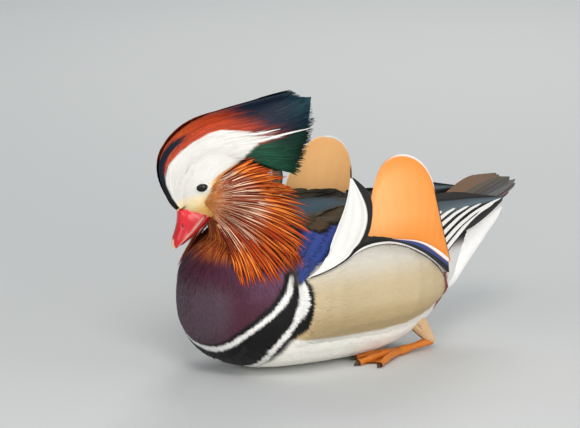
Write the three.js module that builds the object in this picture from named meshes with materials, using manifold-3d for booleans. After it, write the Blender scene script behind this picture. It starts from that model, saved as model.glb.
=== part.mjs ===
// A mandarin duck (drake), life size, at rest on its belly with its feet tucked under.
// Millimetres, +Z up. The bird faces -X and its left side is -Y.
// The origin is on the floor, under the middle of the body.
import * as THREE from 'three';
import { mergeVertices } from 'three/addons/utils/BufferGeometryUtils.js';
import Module from 'manifold-3d';

const wasm = await Module();
wasm.setup();

// Driving dimensions

const GAP = 0.3; // clearance between neighbouring pieces
const SINK = 2.5; // how deep a piece starts inside what carries it
const LOCK_ROOM = 2.4; // height of the locks and feathers over the smooth form that carries them

// body sections: x, lowest z, highest z, half width
const BODY = [
  [-118, 50, 73, 8], [-113, 32, 83, 25], [-99, 15, 97, 43.5], [-77, 4, 112, 59], [-42, -1, 121, 67],
  [0, -3, 123, 66], [36, -2, 120, 65.5], [66, 5, 113, 59], [90, 15, 106, 49], [112, 29, 100, 35],
  [132, 50, 97, 22], [146, 68, 95, 13],
];
const BODY_SQUARE = 2.3; // superellipse power of a section
const BODY_NOSE = [-120, 61];
const BODY_END = [151, 82];
const BODY_SIDES = 28;
const BODY_STEP = 14;
const BREAST_CUT = -64;
const RUMP_CUT = 94;

// neck: x, z, half length fore and aft, half width
const NECK = [
  [-40, 78, 40, 42], [-54, 98, 35, 37], [-66, 115, 29, 30.5], [-75, 129, 24, 25], [-84, 143, 21, 20],
];
const NECK_SIDES = 24;

// head frame: origin at the middle of the gape, f forward along the bill, h up
const GAPE = [-104, 0, 125.6];
const BILL_DOWN = 47;
const HEAD_TURN = 26; // towards the bird's right

// head slices: h, rear f, front f, half width
const HEAD = [
  [-15, -45, -7, 12.5], [-8, -51, 0, 16.5], [0, -55, 6.5, 19], [9, -57.5, 10.5, 20], [17, -58, 11, 19.2],
  [25, -58, 9.8, 17.8], [33, -56.5, 7, 15.6], [40, -52, 3, 12.8], [46, -43, -1, 9.3],
];
const HEAD_FOOT = [-26, -19];
const HEAD_TOP = [-19, 51];
const HEAD_SIDES = 24;
const FACE_TAPER = 0.2;

const EYE = { f: -13.6, h: 17, radius: 6.2, sunk: 4.8 };
const LID = { ring: 4.4, roll: 0.9, stretch: 1.15, slant: 12, tilt: 12 };

// bill sections: f, top h, bottom h, half width
const BILL_UPPER = [
  [-2, 9, 0.2, 8.6], [5, 17.5, -0.2, 9.9], [10.5, 18.6, -0.5, 9.6], [14, 14.8, -0.7, 9.1],
  [18, 11.6, -0.8, 8.6],
  [23, 8.6, -0.7, 8.2], [28, 6.3, -0.5, 7.5], [31.5, 4.6, -0.8, 5.9], [33.8, 2.7, -1.4, 3.4],
];
const BILL_TIP = [34.8, 0.4];
const BILL_LOWER = [
  [-3, -0.6, -5.6, 7.6], [6, -1.1, -5.9, 8.3], [14, -1.3, -5.4, 7.7], [22, -1.3, -4.4, 7],
  [28, -1.2, -3.3, 5.9],
];
const BILL_LOWER_TIP = [31.4, -1.8];
const BILL_SIDES = 20;
const NOSTRIL = { f: 17.2, h: 8.1, length: 2.3, height: 0.95, depth: 2.2, slope: 38 };

// crest sections: f, top h, bottom h, half width
const CREST = [
  [8, 34, 12, 7.4], [1, 48.5, 20, 10.8], [-10, 56.4, 26, 13.2], [-25, 59.5, 27, 14.8], [-40, 58, 17, 15.8],
  [-52, 53, -8, 16.4], [-63, 45.5, -26, 16], [-74, 38, -29, 14], [-85, 30, -26, 11.5], [-96, 23.5, -20, 9],
  [-107, 15.5, -13, 6.4], [-116, 4.5, -6.5, 3.4],
];
const CREST_FRONT = [12.6, 22];
const CREST_SIDES = 18;
const CREST_TIP = [-120, -2];
const CREST_CORE_END = [-88, 8];
const CREST_TIERS = [
  { from: -16, to: -58, spread: 46, count: 4, half: 5, lift: 1.9 },
  { from: -44, to: -86, spread: 100, count: 5, half: 7.6, lift: 0.9 },
  { from: -60, to: -104, spread: 150, count: 7, half: 7.4, lift: -0.5 },
  { from: -74, to: -123, spread: 140, count: 7, half: 5.4, lift: -1.9 },
];
const BROW_TURNS = [88];
const LOCK_STEPS = [0, 0.36, 0.76, 1];

// ruff: plumes that fan out from the cheek; turn is measured from straight back, up positive
const RUFF = {
  turns: [66, -100], reach: 59, core: 0.4, bend: 0.035,
  tiers: [{ count: 12, reach: 1, half: 5, lift: 1.4 }, { count: 5, reach: 0.76, half: 5, lift: 4.4 }],
};

// outlines seen from the side, x and z
const SAIL_BASE = [[4, 92], [21, 92], [41, 88], [60, 81], [76, 71], [88, 62]];
const SAIL_EDGE = [
  [8, 97], [15, 126.5], [22.5, 145], [30, 156], [40.5, 161], [55.5, 160.7], [68, 154], [77, 143.5],
  [79.5, 131.5], [81.5, 116], [85.5, 94], [91, 70],
];
const SAIL_FOOT = 60;
const SAIL_TOP = 161;
const SAIL_MIDDLE = [45, 112];
const SAIL_Y = [58, 46]; // at its foot and at its top

const CRESCENT_FRONT = [[-57, 82], [-37, 92.4], [-20, 111], [-9, 127], [-4, 138], [-1, 149]];
const CRESCENT_REAR = [[-57, 80], [-32, 92], [-3, 101.5], [11, 112], [15.5, 128], [0, 149]];
const CRESCENT_MIDDLE = [-16, 104];
const CRESCENT_Y = [66, 62, 49]; // at the foot, half way and at the tip
const CRESCENT = { count: 5, layer: 0.9, x: -49, z: 86, lift: 1.5, radii: [9, 3.4, 2.8], slope: -32 };
const CRESCENT_STEPS = [0, 0.2, 0.4, 0.6, 0.8, 1];

const FLANK_TOP = [
  [-62, 74], [-44, 86.2], [-19, 97.6], [2, 99.5], [37, 94.5], [64, 82.6], [81, 70.4], [94, 56],
];

const WING = { front: -58, rear: 92, upper: 24, lowerFront: 63, lower: 54, lift: 5.5 };
const WING_TIERS = [
  { from: -46, to: -12, turns: [38, 55], count: 3, half: 7.6, lift: 7.8 },
  { from: -26, to: 18, turns: [31, 44], count: 2, half: 9, lift: 7.2 },
  { from: 0, to: 48, turns: [28, 38], count: 2, half: 8.8, lift: 6.9 },
  { from: 28, to: 84, turns: [26, 36], count: 2, half: 8.8, lift: 6 },
  { from: 50, to: 108, turns: [22, 32], count: 2, half: 8.4, lift: 4.2 },
];
const FEATHER_STEPS = [0, 0.4, 0.8, 1];
const VANE_HALF = 0.3; // half thickness of a vane
const LOCK_HALF = 0.4; // half thickness of a lock
const PRIMARY = {
  root: [72, -47, 78], rise: 4, layer: 1, half: 5,
  tips: [166, 149, 135, 122, 110, 99, 91], tipY: -26, tipZ: 107,
  pad: [79, -48, 89], padRadii: [13, 5.5, 14],
};
const TAIL = {
  count: 12, coverts: 3, root: [118, 91], length: 87, rise: 15.5, half: 8, nearRoll: 0.12, farRoll: 0.5,
  step: 1.3, yaw: 3.5, fan: 1.6,
};
// white feathers under the tail: x, lowest z, highest z, half width
const UNDERTAIL = [
  [106, 28, 74, 29], [128, 36, 82, 24], [142, 49, 87, 19], [156, 61, 91, 14.5], [168, 72, 94, 10.5],
  [178, 80, 95, 7], [187, 87, 96, 3],
];
const UNDERTAIL_CORE = 158;
const UNDERTAIL_TIERS = [
  { from: 122, to: 160, spread: 84, count: 3, half: 10 },
  { from: 138, to: 176, spread: 60, count: 2, half: 8 },
  { from: 150, to: 188, spread: 40, count: 2, half: 6 },
];

const FOOT_ROOT = [54, -40];
const HEEL = [88, -37, 6.5];

// Colours, with roughness

const COLOUR = {
  breast: 0x4a1f33, flank: 0xc9ad7e, back: 0x4d4433, rump: 0x3a332c, neck: 0xa4481d, face: 0xf3efe6,
  bill: 0xd8242c, eye: 0x1a0f0a, crest: 0x8a2d14, ruff: 0xb5561c, wing: 0x27345f, crescent: 0xf4f2ec,
  sail: 0xe08a35, primary: 0x6f6d6c, tail: 0x4e4436, undertail: 0xf1eee6, leg: 0xd9a273, foot: 0xd97a24,
};

// Small sums

const radians = (degrees) => THREE.MathUtils.degToRad(degrees);
const mix = THREE.MathUtils.lerp;
const clamp = THREE.MathUtils.clamp;
const vec = (x, y, z) => new THREE.Vector3(x, y, z);

// the same numbers on every run
function dice(seed) {
  let state = seed;
  return () => {
    state = (state * 1664525 + 1013904223) % 4294967296;
    return state / 4294967296 - 0.5;
  };
}

// the row of a table of sections at a place in its first column, rounded between the rows
function along(table, place) {
  const last = table.length - 1;
  const rising = table[last][0] > table[0][0];
  let row = 0;
  while (row < last - 1 && (rising ? place > table[row + 1][0] : place < table[row + 1][0])) row += 1;
  const before = table[Math.max(row - 1, 0)];
  const a = table[row];
  const b = table[row + 1];
  const after = table[Math.min(row + 2, last)];
  const t = clamp((place - a[0]) / (b[0] - a[0]), 0, 1);
  const run = b[0] - a[0];
  return a.map((value, column) => {
    const slopeA = (b[column] - before[column]) / (b[0] - before[0]);
    const slopeB = (after[column] - value) / (after[0] - a[0]);
    const t2 = t * t;
    const t3 = t2 * t;
    return (2 * t3 - 3 * t2 + 1) * value + (t3 - 2 * t2 + t) * run * slopeA
      + (3 * t2 - 2 * t3) * b[column] + (t3 - t2) * run * slopeB;
  });
}

// a point at share t of a smooth line through points
function onLine(points, t) {
  const line = new THREE.CatmullRomCurve3(points.map(([x, z]) => vec(x, 0, z)), false, 'centripetal');
  return line.getPoint(t);
}

// a point of an outline pushed outwards, for the room that the outline needs
function spreadFrom(p, [x, z], grow) {
  const middle = vec(x, p.y, z);
  return p.sub(middle).multiplyScalar(1 + grow / 12).add(middle);
}

// Closed solids

// points and triangles of a closed surface, turned outwards
function solid(points, triangles) {
  let volume = 0;
  for (const [a, b, c] of triangles) {
    volume += points[a].dot(points[b].clone().cross(points[c]));
  }
  const turned = volume < 0 ? triangles.map(([a, b, c]) => [a, c, b]) : triangles;
  return new wasm.Manifold(new wasm.Mesh({
    numProp: 3,
    vertProperties: new Float32Array(points.flatMap((p) => [p.x, p.y, p.z])),
    triVerts: new Uint32Array(turned.flat()),
  }));
}

function fromGeometry(geometry, matrix) {
  const bare = geometry.clone();
  bare.deleteAttribute('normal');
  bare.deleteAttribute('uv');
  bare.applyMatrix4(matrix);
  const merged = mergeVertices(bare, 1e-4);
  const place = merged.getAttribute('position');
  const points = [];
  for (let i = 0; i < place.count; i += 1) points.push(vec(place.getX(i), place.getY(i), place.getZ(i)));
  const index = merged.getIndex().array;
  const triangles = [];
  for (let i = 0; i < index.length; i += 3) {
    const [a, b, c] = [index[i], index[i + 1], index[i + 2]];
    if (a !== b && b !== c && a !== c) triangles.push([a, b, c]);
  }
  return solid(points, triangles);
}

// rings of equal length, closed by a point or a flat fan at each end
function loft(rings, first = null, last = null) {
  const sides = rings[0].length;
  const points = rings.flat();
  const triangles = [];
  for (let r = 0; r < rings.length - 1; r += 1) {
    for (let s = 0; s < sides; s += 1) {
      const a = r * sides + s;
      const b = r * sides + ((s + 1) % sides);
      triangles.push([a, b, b + sides], [a, b + sides, a + sides]);
    }
  }
  const cap = (tip, start, turned) => {
    const middle = tip ?? rings[start].reduce((sum, p) => sum.add(p), vec(0, 0, 0)).divideScalar(sides);
    points.push(middle);
    for (let s = 0; s < sides; s += 1) {
      const a = start * sides + s;
      const b = start * sides + ((s + 1) % sides);
      triangles.push(turned ? [points.length - 1, a, b] : [points.length - 1, b, a]);
    }
  };
  cap(first, 0, false);
  cap(last, rings.length - 1, true);
  return solid(points, triangles);
}

// a thin plate between two grids of points alike, both cut along the same diagonals
function plate(outer, inner) {
  const rows = outer.length;
  const columns = outer[0].length;
  const points = [...outer.flat(), ...inner.flat()];
  const half = rows * columns;
  const at = (r, c) => r * columns + c;
  const triangles = [];
  for (let r = 0; r < rows - 1; r += 1) {
    for (let c = 0; c < columns - 1; c += 1) {
      const [a, b, d, e] = [at(r, c), at(r, c + 1), at(r + 1, c), at(r + 1, c + 1)];
      triangles.push([a, b, e], [a, e, d]);
      triangles.push([half + a, half + e, half + b], [half + a, half + d, half + e]);
    }
  }
  const rim = [];
  for (let c = 0; c < columns; c += 1) rim.push(at(0, c));
  for (let r = 1; r < rows; r += 1) rim.push(at(r, columns - 1));
  for (let c = columns - 2; c >= 0; c -= 1) rim.push(at(rows - 1, c));
  for (let r = rows - 2; r > 0; r -= 1) rim.push(at(r, 0));
  rim.forEach((a, i) => {
    const b = rim[(i + 1) % rim.length];
    triangles.push([b, a, half + a], [b, half + a, half + b]);
  });
  return solid(points, triangles);
}

// a feather or lock: lens-shaped sections along its spine, with a pointed end
// each station holds its middle, the way out of the coat, half width and half thickness
function blade(stations, droop = 0.12) {
  const sides = 4;
  const points = [];
  const triangles = [];
  const last = stations.length - 1;
  stations.forEach(({ at, out, half, thick }, i) => {
    const ahead = stations[Math.min(i + 1, last)].at.clone().sub(stations[Math.max(i - 1, 0)].at).normalize();
    const across = ahead.clone().cross(out).normalize();
    const up = across.clone().cross(ahead).normalize();
    if (i === last) {
      points.push(at.clone());
      return;
    }
    const drop = up.clone().multiplyScalar(-droop * half);
    points.push(at.clone().addScaledVector(across, -half).add(drop));
    points.push(at.clone().addScaledVector(up, thick));
    points.push(at.clone().addScaledVector(across, half).add(drop));
    points.push(at.clone().addScaledVector(up, -thick));
  });
  for (let i = 0; i < last - 1; i += 1) {
    const [l, t, r, b] = [0, 1, 2, 3].map((k) => i * sides + k);
    triangles.push([l, t, t + sides], [l, t + sides, l + sides]);
    triangles.push([l, b + sides, b], [l, l + sides, b + sides]);
    triangles.push([r, t + sides, t], [r, r + sides, t + sides]);
    triangles.push([r, b, b + sides], [r, b + sides, r + sides]);
  }
  const end = (last - 1) * sides;
  const tip = points.length - 1;
  triangles.push([end, end + 1, tip], [end + 1, end + 2, tip], [end + 2, end + 3, tip], [end + 3, end, tip]);
  triangles.push([0, 2, 1], [0, 3, 2]);
  return solid(points, triangles);
}

function ellipsoid(middle, radii, turn = new THREE.Euler(), wide = 10, high = 7) {
  const matrix = new THREE.Matrix4().compose(
    middle, new THREE.Quaternion().setFromEuler(turn), vec(...radii),
  );
  return fromGeometry(new THREE.SphereGeometry(1, wide, high), matrix);
}

const join = (pieces) => pieces.reduce((sum, piece) => sum.add(piece));
const mirrored = (shape) => shape.mirror([0, 1, 0]);

// cuts the neighbours away and keeps the largest closed surface
function fit(shape, ...neighbours) {
  const cut = neighbours.reduce((left, neighbour) => left.subtract(neighbour), shape);
  const parts = cut.decompose();
  parts.sort((a, b) => b.volume() - a.volume());
  return parts[0];
}

// Body

function bodySection(x) {
  const [, low, high, width] = along(BODY, clamp(x, BODY[0][0], BODY[BODY.length - 1][0]));
  return { middle: (low + high) / 2, half: (high - low) / 2, width };
}

// a point of the body's surface: turn is 0 on the back and 90 at the side
function skinPoint(x, turn, lift = 0, side = -1) {
  const { middle, half, width } = bodySection(x);
  const s = Math.sin(radians(turn));
  const c = Math.cos(radians(turn));
  const reach = (Math.abs(s) ** BODY_SQUARE + Math.abs(c) ** BODY_SQUARE) ** (-1 / BODY_SQUARE);
  return vec(x, side * (width + lift) * s * reach, middle + (half + lift) * c * reach);
}

function skinOut(x, turn, side = -1) {
  const step = 2;
  const fore = skinPoint(x + step, turn, 0, side).sub(skinPoint(x - step, turn, 0, side));
  const round = skinPoint(x, turn + step, 0, side).sub(skinPoint(x, turn - step, 0, side));
  return fore.cross(round).normalize().multiplyScalar(side);
}

function bodyRing(x, grow) {
  const ring = [];
  for (let s = 0; s < BODY_SIDES; s += 1) {
    const p = skinPoint(x, (360 * s) / BODY_SIDES, grow, 1);
    ring.push(vec(x, p.y, Math.max(p.z, grow > 0 ? -grow : 0)));
  }
  return ring;
}

function bodyShape(grow = 0) {
  const first = BODY[0][0];
  const end = BODY[BODY.length - 1][0];
  const count = Math.round((end - first) / BODY_STEP);
  const rings = [bodyRing(first, grow), bodyRing(BODY[1][0], grow)];
  for (let i = 1; i < count; i += 1) rings.push(bodyRing(mix(BODY[1][0], end, i / (count - 1)), grow));
  return loft(
    rings, vec(BODY_NOSE[0] - grow, 0, BODY_NOSE[1]), vec(BODY_END[0] + grow, 0, BODY_END[1]),
  );
}

// everything between two upright planes
function slab(from, to) {
  const reach = 400;
  const middle = (from + to) / 2;
  const matrix = new THREE.Matrix4().makeTranslation(middle, 0, 0);
  return fromGeometry(new THREE.BoxGeometry(to - from, reach, reach), matrix);
}

// Neck

function neckShape(grow = 0, up = 0) {
  const rings = NECK.map(([x, z, fore, wide], i) => {
    const a = NECK[Math.max(i - 1, 0)];
    const b = NECK[Math.min(i + 1, NECK.length - 1)];
    const ahead = vec(b[0] - a[0], 0, b[1] - a[1]).normalize();
    const across = vec(ahead.z, 0, -ahead.x);
    const ring = [];
    for (let s = 0; s < NECK_SIDES; s += 1) {
      const angle = (2 * Math.PI * s) / NECK_SIDES;
      ring.push(
        vec(x, (wide + grow) * Math.sin(angle), z + up)
          .addScaledVector(across, (fore + grow) * Math.cos(angle)),
      );
    }
    return ring;
  });
  return loft(rings);
}

// Head

const HEAD_MATRIX = new THREE.Matrix4().compose(
  vec(...GAPE),
  new THREE.Quaternion().setFromEuler(new THREE.Euler(0, radians(-BILL_DOWN), radians(-HEAD_TURN), 'ZYX')),
  vec(1, 1, 1),
);
const HEAD_INVERSE = HEAD_MATRIX.clone().invert();
// a point by the head's own frame: f forward, y to the right, h up
const onHead = (f, y, h) => vec(-f, y, h).applyMatrix4(HEAD_MATRIX);

function headPoint(h, angle, grow = 0) {
  const [, rear, front, width] = along(HEAD, clamp(h, HEAD[0][0], HEAD[HEAD.length - 1][0]));
  const c = Math.cos(angle);
  const half = (front - rear) / 2 + grow;
  const taper = 1 - FACE_TAPER * c * c * Math.sign(c);
  return [(front + rear) / 2 + half * c, (width + grow) * Math.sin(angle) * taper];
}

function headShape(grow = 0) {
  const rings = HEAD.map(([h]) => {
    const ring = [];
    for (let s = 0; s < HEAD_SIDES; s += 1) {
      const [f, y] = headPoint(h, (2 * Math.PI * s) / HEAD_SIDES, grow);
      ring.push(onHead(f, y, h));
    }
    return ring;
  });
  return loft(
    rings, onHead(HEAD_FOOT[0], 0, HEAD_FOOT[1] - grow), onHead(HEAD_TOP[0], 0, HEAD_TOP[1] + grow),
  );
}

// the y of the face's surface at f and h
function faceReach(f, h) {
  const [, rear, front] = along(HEAD, h);
  const c = clamp((2 * f - front - rear) / (front - rear), -1, 1);
  return headPoint(h, Math.acos(c))[1];
}

function eyeMiddle(side) {
  const reach = faceReach(EYE.f, EYE.h) - EYE.sunk;
  return onHead(EYE.f, side * reach, EYE.h);
}

const eyeShape = (side, grow = 0) => {
  const radius = EYE.radius + grow;
  return ellipsoid(eyeMiddle(side), [radius, radius, radius], new THREE.Euler(), 12, 8);
};

// the rim of skin around an eye, a little longer than high
function lidShape(side) {
  const place = onHead(EYE.f, side * (faceReach(EYE.f, EYE.h) - 0.1), EYE.h);
  const tilt = radians(LID.tilt);
  const outward = vec(-Math.sin(tilt), side * Math.cos(tilt), 0);
  const ahead = vec(-Math.cos(tilt), -side * Math.sin(tilt), -Math.tan(radians(LID.slant))).normalize();
  const across = outward.clone().cross(ahead);
  const own = new THREE.Matrix4().makeBasis(ahead.multiplyScalar(LID.stretch), across, outward);
  const headTurn = HEAD_MATRIX.clone().setPosition(0, 0, 0);
  const matrix = new THREE.Matrix4().makeTranslation(place).multiply(headTurn).multiply(own);
  return fromGeometry(new THREE.TorusGeometry(LID.ring, LID.roll, 4, 10), matrix);
}

// Bill

// a section that is round above and flat below, or the other way up
function billRing([f, top, bottom, width], roundAbove, grow) {
  const flat = roundAbove ? bottom - grow : top + grow;
  const round = roundAbove ? top + grow : bottom - grow;
  const ring = [];
  for (let s = 0; s < BILL_SIDES; s += 1) {
    const angle = (2 * Math.PI * s) / BILL_SIDES;
    const share = roundAbove ? Math.cos(angle) : -Math.cos(angle);
    const h = share > 0 ? mix(flat, round, share ** 0.8) : flat;
    ring.push(onHead(f, (width + grow) * Math.sin(angle), h));
  }
  return ring;
}

function billUpperShape(grow = 0) {
  const rings = BILL_UPPER.map((row) => billRing(row, true, grow));
  const shape = loft(rings, null, onHead(BILL_TIP[0] + grow, 0, BILL_TIP[1]));
  if (grow > 0) return shape;
  const turn = new THREE.Matrix4().makeRotationY(radians(-NOSTRIL.slope));
  const pits = [-1, 1].map((side) => {
    const own = new THREE.Matrix4().makeTranslation(-NOSTRIL.f, side * 6.2, NOSTRIL.h)
      .multiply(turn).multiply(new THREE.Matrix4().makeScale(NOSTRIL.length, NOSTRIL.depth, NOSTRIL.height));
    return fromGeometry(new THREE.SphereGeometry(1, 8, 6), HEAD_MATRIX.clone().multiply(own));
  });
  return shape.subtract(pits[0]).subtract(pits[1]);
}

function billLowerShape(grow = 0) {
  const rings = BILL_LOWER.map((row) => billRing(row, false, grow));
  return loft(rings, null, onHead(BILL_LOWER_TIP[0] + grow, 0, BILL_LOWER_TIP[1]));
}

// Crest

function crestPoint(f, turn, lift = 0) {
  const [, top, bottom, width] = along(CREST, clamp(f, CREST[CREST.length - 1][0], CREST[0][0]));
  const angle = radians(turn);
  const half = (top - bottom) / 2 + lift;
  return [(width + lift) * Math.sin(angle), (top + bottom) / 2 + half * Math.cos(angle)];
}

function crestCore(grow = 0) {
  const rings = CREST.filter(([f]) => f > CREST_CORE_END[0] + 6).map(([f], i, rows) => {
    const ring = [];
    const narrow = i === rows.length - 1 ? 0.75 : 1;
    for (let s = 0; s < CREST_SIDES; s += 1) {
      const [y, h] = crestPoint(f, (360 * s) / CREST_SIDES, grow);
      const middle = (crestPoint(f, 0)[1] + crestPoint(f, 180)[1]) / 2;
      ring.push(onHead(f, y * narrow, middle + (h - middle) * narrow));
    }
    return ring;
  });
  const brow = onHead(CREST_FRONT[0] + grow, 0, CREST_FRONT[1]);
  return loft(rings, brow, onHead(CREST_CORE_END[0], 0, CREST_CORE_END[1]));
}

// the whole outline of the crest out to its tips, as room for its locks
function crestRoom(grow) {
  const rings = CREST.map(([f]) => {
    const ring = [];
    for (let s = 0; s < CREST_SIDES; s += 1) {
      const [y, h] = crestPoint(f, (360 * s) / CREST_SIDES, grow);
      ring.push(onHead(f, y, h));
    }
    return ring;
  });
  const brow = onHead(CREST_FRONT[0] + grow, 0, CREST_FRONT[1]);
  return loft(rings, brow, onHead(CREST_TIP[0] - grow, 0, CREST_TIP[1]));
}

// a lock that lies along the crest from one f to another, its turn 0 on top
function crestLock(from, to, turn, half, lift) {
  const stations = LOCK_STEPS.map((share) => {
    const f = mix(from, to, share);
    const near = crestPoint(f, turn * (1 - 0.1 * share), mix(-SINK, lift, Math.min(1, share * 3)));
    const outer = crestPoint(f, turn * (1 - 0.1 * share), 20);
    const at = onHead(f, ...near);
    const width = half * Math.sin(Math.PI * mix(0.3, 0.93, share)) ** 0.7;
    return { at, out: onHead(f, ...outer).sub(at).normalize(), half: width, thick: LOCK_HALF };
  });
  return blade(stations);
}

function crestShape() {
  const random = dice(7);
  const pieces = [crestCore()];
  for (const { from, to, spread, count, half, lift } of CREST_TIERS) {
    for (let i = 0; i < count; i += 1) {
      const turn = mix(-spread, spread, (i + 0.5) / count) + 5 * random();
      const end = to + 5 * random();
      const width = half * (1 + 0.3 * random());
      pieces.push(crestLock(from + 4 * random(), end, turn, width, lift + 0.6 * (i % 2)));
    }
  }
  // the long brow plumes, pale in life, that run back and down over each side
  for (const side of [-1, 1]) {
    BROW_TURNS.forEach((turn, i) => pieces.push(crestLock(-58 - 3 * i, -104 + 6 * i, side * turn, 3.2, 2.2)));
  }
  return join(pieces);
}

// Reach of the body, neck, head and crest to each side

function insideBody(p) {
  if (p.x < BODY_NOSE[0] || p.x > BODY_END[0]) return false;
  const { middle, half, width } = bodySection(p.x);
  return Math.abs(p.y / width) ** BODY_SQUARE + Math.abs((p.z - middle) / half) ** BODY_SQUARE < 1;
}

// the folded wing, as a swelling of the body's upper side
function insideWing(p) {
  if (p.x < WING.front - 4 || p.x > WING.rear || p.z < 92) return false;
  const { middle, half, width } = bodySection(p.x);
  const swell = WING.lift + 1;
  const aside = Math.abs(p.y / (width + swell)) ** BODY_SQUARE;
  return aside + Math.abs((p.z - middle) / (half + swell)) ** BODY_SQUARE < 1;
}

function insideNeck(p) {
  for (let t = 0; t <= 1; t += 0.1) {
    const z = mix(NECK[0][1], NECK[NECK.length - 1][1], t);
    const [, x, fore, wide] = along(NECK.map(([a, b, c, d]) => [b, a, c, d]), z);
    const ahead = vec(-0.62, 0, 0.78);
    const from = vec(p.x - x, 0, p.z - z);
    const on = Math.abs(from.dot(ahead));
    const off = from.x * ahead.z - from.z * ahead.x;
    if (on < 4 && (off / fore) ** 2 + (p.y / wide) ** 2 < 1) return true;
  }
  return false;
}

function insideHead(p) {
  const q = p.clone().applyMatrix4(HEAD_INVERSE);
  const [f, y, h] = [-q.x, q.y, q.z];
  if (h < HEAD_FOOT[1] || h > HEAD_TOP[1]) return false;
  const [, rear, front, width] = along(HEAD, clamp(h, HEAD[0][0], HEAD[HEAD.length - 1][0]));
  return ((2 * f - front - rear) / (front - rear)) ** 2 + (y / width) ** 2 < 1;
}

function insideCrest(p) {
  const q = p.clone().applyMatrix4(HEAD_INVERSE);
  const [f, y, h] = [-q.x, q.y, q.z];
  if (f > CREST_FRONT[0] || f < CREST_CORE_END[0]) return false;
  const [, top, bottom, width] = along(CREST, clamp(f, CREST[CREST.length - 1][0], CREST[0][0]));
  return ((2 * h - top - bottom) / (top - bottom)) ** 2 + (y / width) ** 2 < 1;
}

// how far to one side the bird reaches at x and z, or null in the open air
function sideReach(x, z, side, least = 6) {
  for (let y = 90; y > least; y -= 0.5) {
    const p = vec(x, side * y, z);
    if (insideBody(p) || insideWing(p) || insideNeck(p) || insideHead(p) || insideCrest(p)) return y;
  }
  return null;
}

// Ruff

const ruffRoot = (side) => onHead(-9, side * 19.5, -6.5);

function ruffReach(share) {
  // share 0 is the topmost plume and 1 the lowest one at the front
  return RUFF.reach * (0.84 + 0.22 * Math.sin(Math.PI * clamp(share * 1.12 + 0.02, 0, 1))) - 7 * share ** 6;
}

// a point over the side of the bird, so far from the ruff's root and in that direction
function ruffPoint(side, share, distance, lift) {
  const root = ruffRoot(side);
  const turn = radians(mix(RUFF.turns[0], RUFF.turns[1], share));
  const x = root.x + distance * Math.cos(turn);
  const z = root.z + distance * Math.sin(turn);
  const start = (Math.abs(root.y) + 1) * (1 - 0.4 * clamp((share - 0.7) / 0.3, 0, 1));
  const own = sideReach(x, z, side) ?? 0;
  const eased = Math.max(own, start - 0.25 * distance);
  return vec(x, side * (eased + lift), z);
}

// the pad under the plumes, less than half as long as they are
function ruffCore(side) {
  const rows = 3;
  const columns = 7;
  const outer = [];
  const inner = [];
  for (let r = 0; r < rows; r += 1) {
    const v = r / (rows - 1);
    outer.push([]);
    inner.push([]);
    for (let c = 0; c < columns; c += 1) {
      const share = c / (columns - 1);
      const d = mix(4, ruffReach(share) * RUFF.core, v);
      outer[r].push(ruffPoint(side, share, d, mix(2.6, 1.4, v)));
      inner[r].push(ruffPoint(side, share, d, mix(-4, -1, v)));
    }
  }
  return plate(outer, inner);
}

function plume(side, share, length, half, lift) {
  const stations = LOCK_STEPS.map((step) => {
    const bent = share + RUFF.bend * step * step;
    const d = mix(17, length, step);
    const at = ruffPoint(side, bent, d, mix(-0.5, lift, Math.min(1, step * 3)) + 0.6 * step * step);
    return { at, half: half * Math.sin(Math.PI * mix(0.1, 0.94, step)) ** 0.8, thick: LOCK_HALF };
  });
  stations.forEach((station, i) => {
    const ahead = stations[Math.min(i + 1, stations.length - 1)].at.clone();
    ahead.sub(stations[Math.max(i - 1, 0)].at).normalize();
    const sideways = vec(0, side, 0);
    station.out = sideways.addScaledVector(ahead, -sideways.dot(ahead)).normalize();
  });
  return blade(stations);
}

function ruffShape(side) {
  const random = dice(side < 0 ? 21 : 22);
  const pieces = [ruffCore(side)];
  for (const { count, reach, half, lift } of RUFF.tiers) {
    for (let i = 0; i < count; i += 1) {
      const share = (i + 0.5 + 0.3 * random()) / count;
      const length = ruffReach(share) * reach * (1 + 0.09 * random());
      pieces.push(plume(side, share, length, half * (1 + 0.2 * random()), lift + 1.4 * (i % 2)));
    }
  }
  return join(pieces);
}

// Flank

function flankShape(side, grow = 0) {
  const columns = 11;
  const rows = 7;
  const outer = [];
  const inner = [];
  for (let c = 0; c < columns; c += 1) {
    const t = c / (columns - 1);
    const [x, , z] = onLine(FLANK_TOP, t).toArray();
    const top = turnAtHeight(x, z);
    const foot = mix(122, 112, t);
    outer.push([]);
    inner.push([]);
    for (let r = 0; r < rows; r += 1) {
      const v = r / (rows - 1);
      const swell = Math.sin(Math.PI * Math.min(1, 0.04 + v * 0.96)) ** 0.7;
      const end = Math.sin(Math.PI * clamp(0.08 + t * 0.86, 0, 1)) ** 0.5;
      const lift = 0.8 + 9 * swell * end + grow;
      const turn = mix(top - (grow > 0 ? 0.5 : 0), foot, v);
      outer[c].push(skinPoint(x, turn, lift, side));
      inner[c].push(skinPoint(x, turn, -SINK, side));
    }
  }
  return plate(outer, inner);
}

function turnAtHeight(x, z) {
  let turn = 0;
  while (turn < 150 && skinPoint(x, turn).z > z) turn += 1;
  return turn;
}

// Wing

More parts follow.
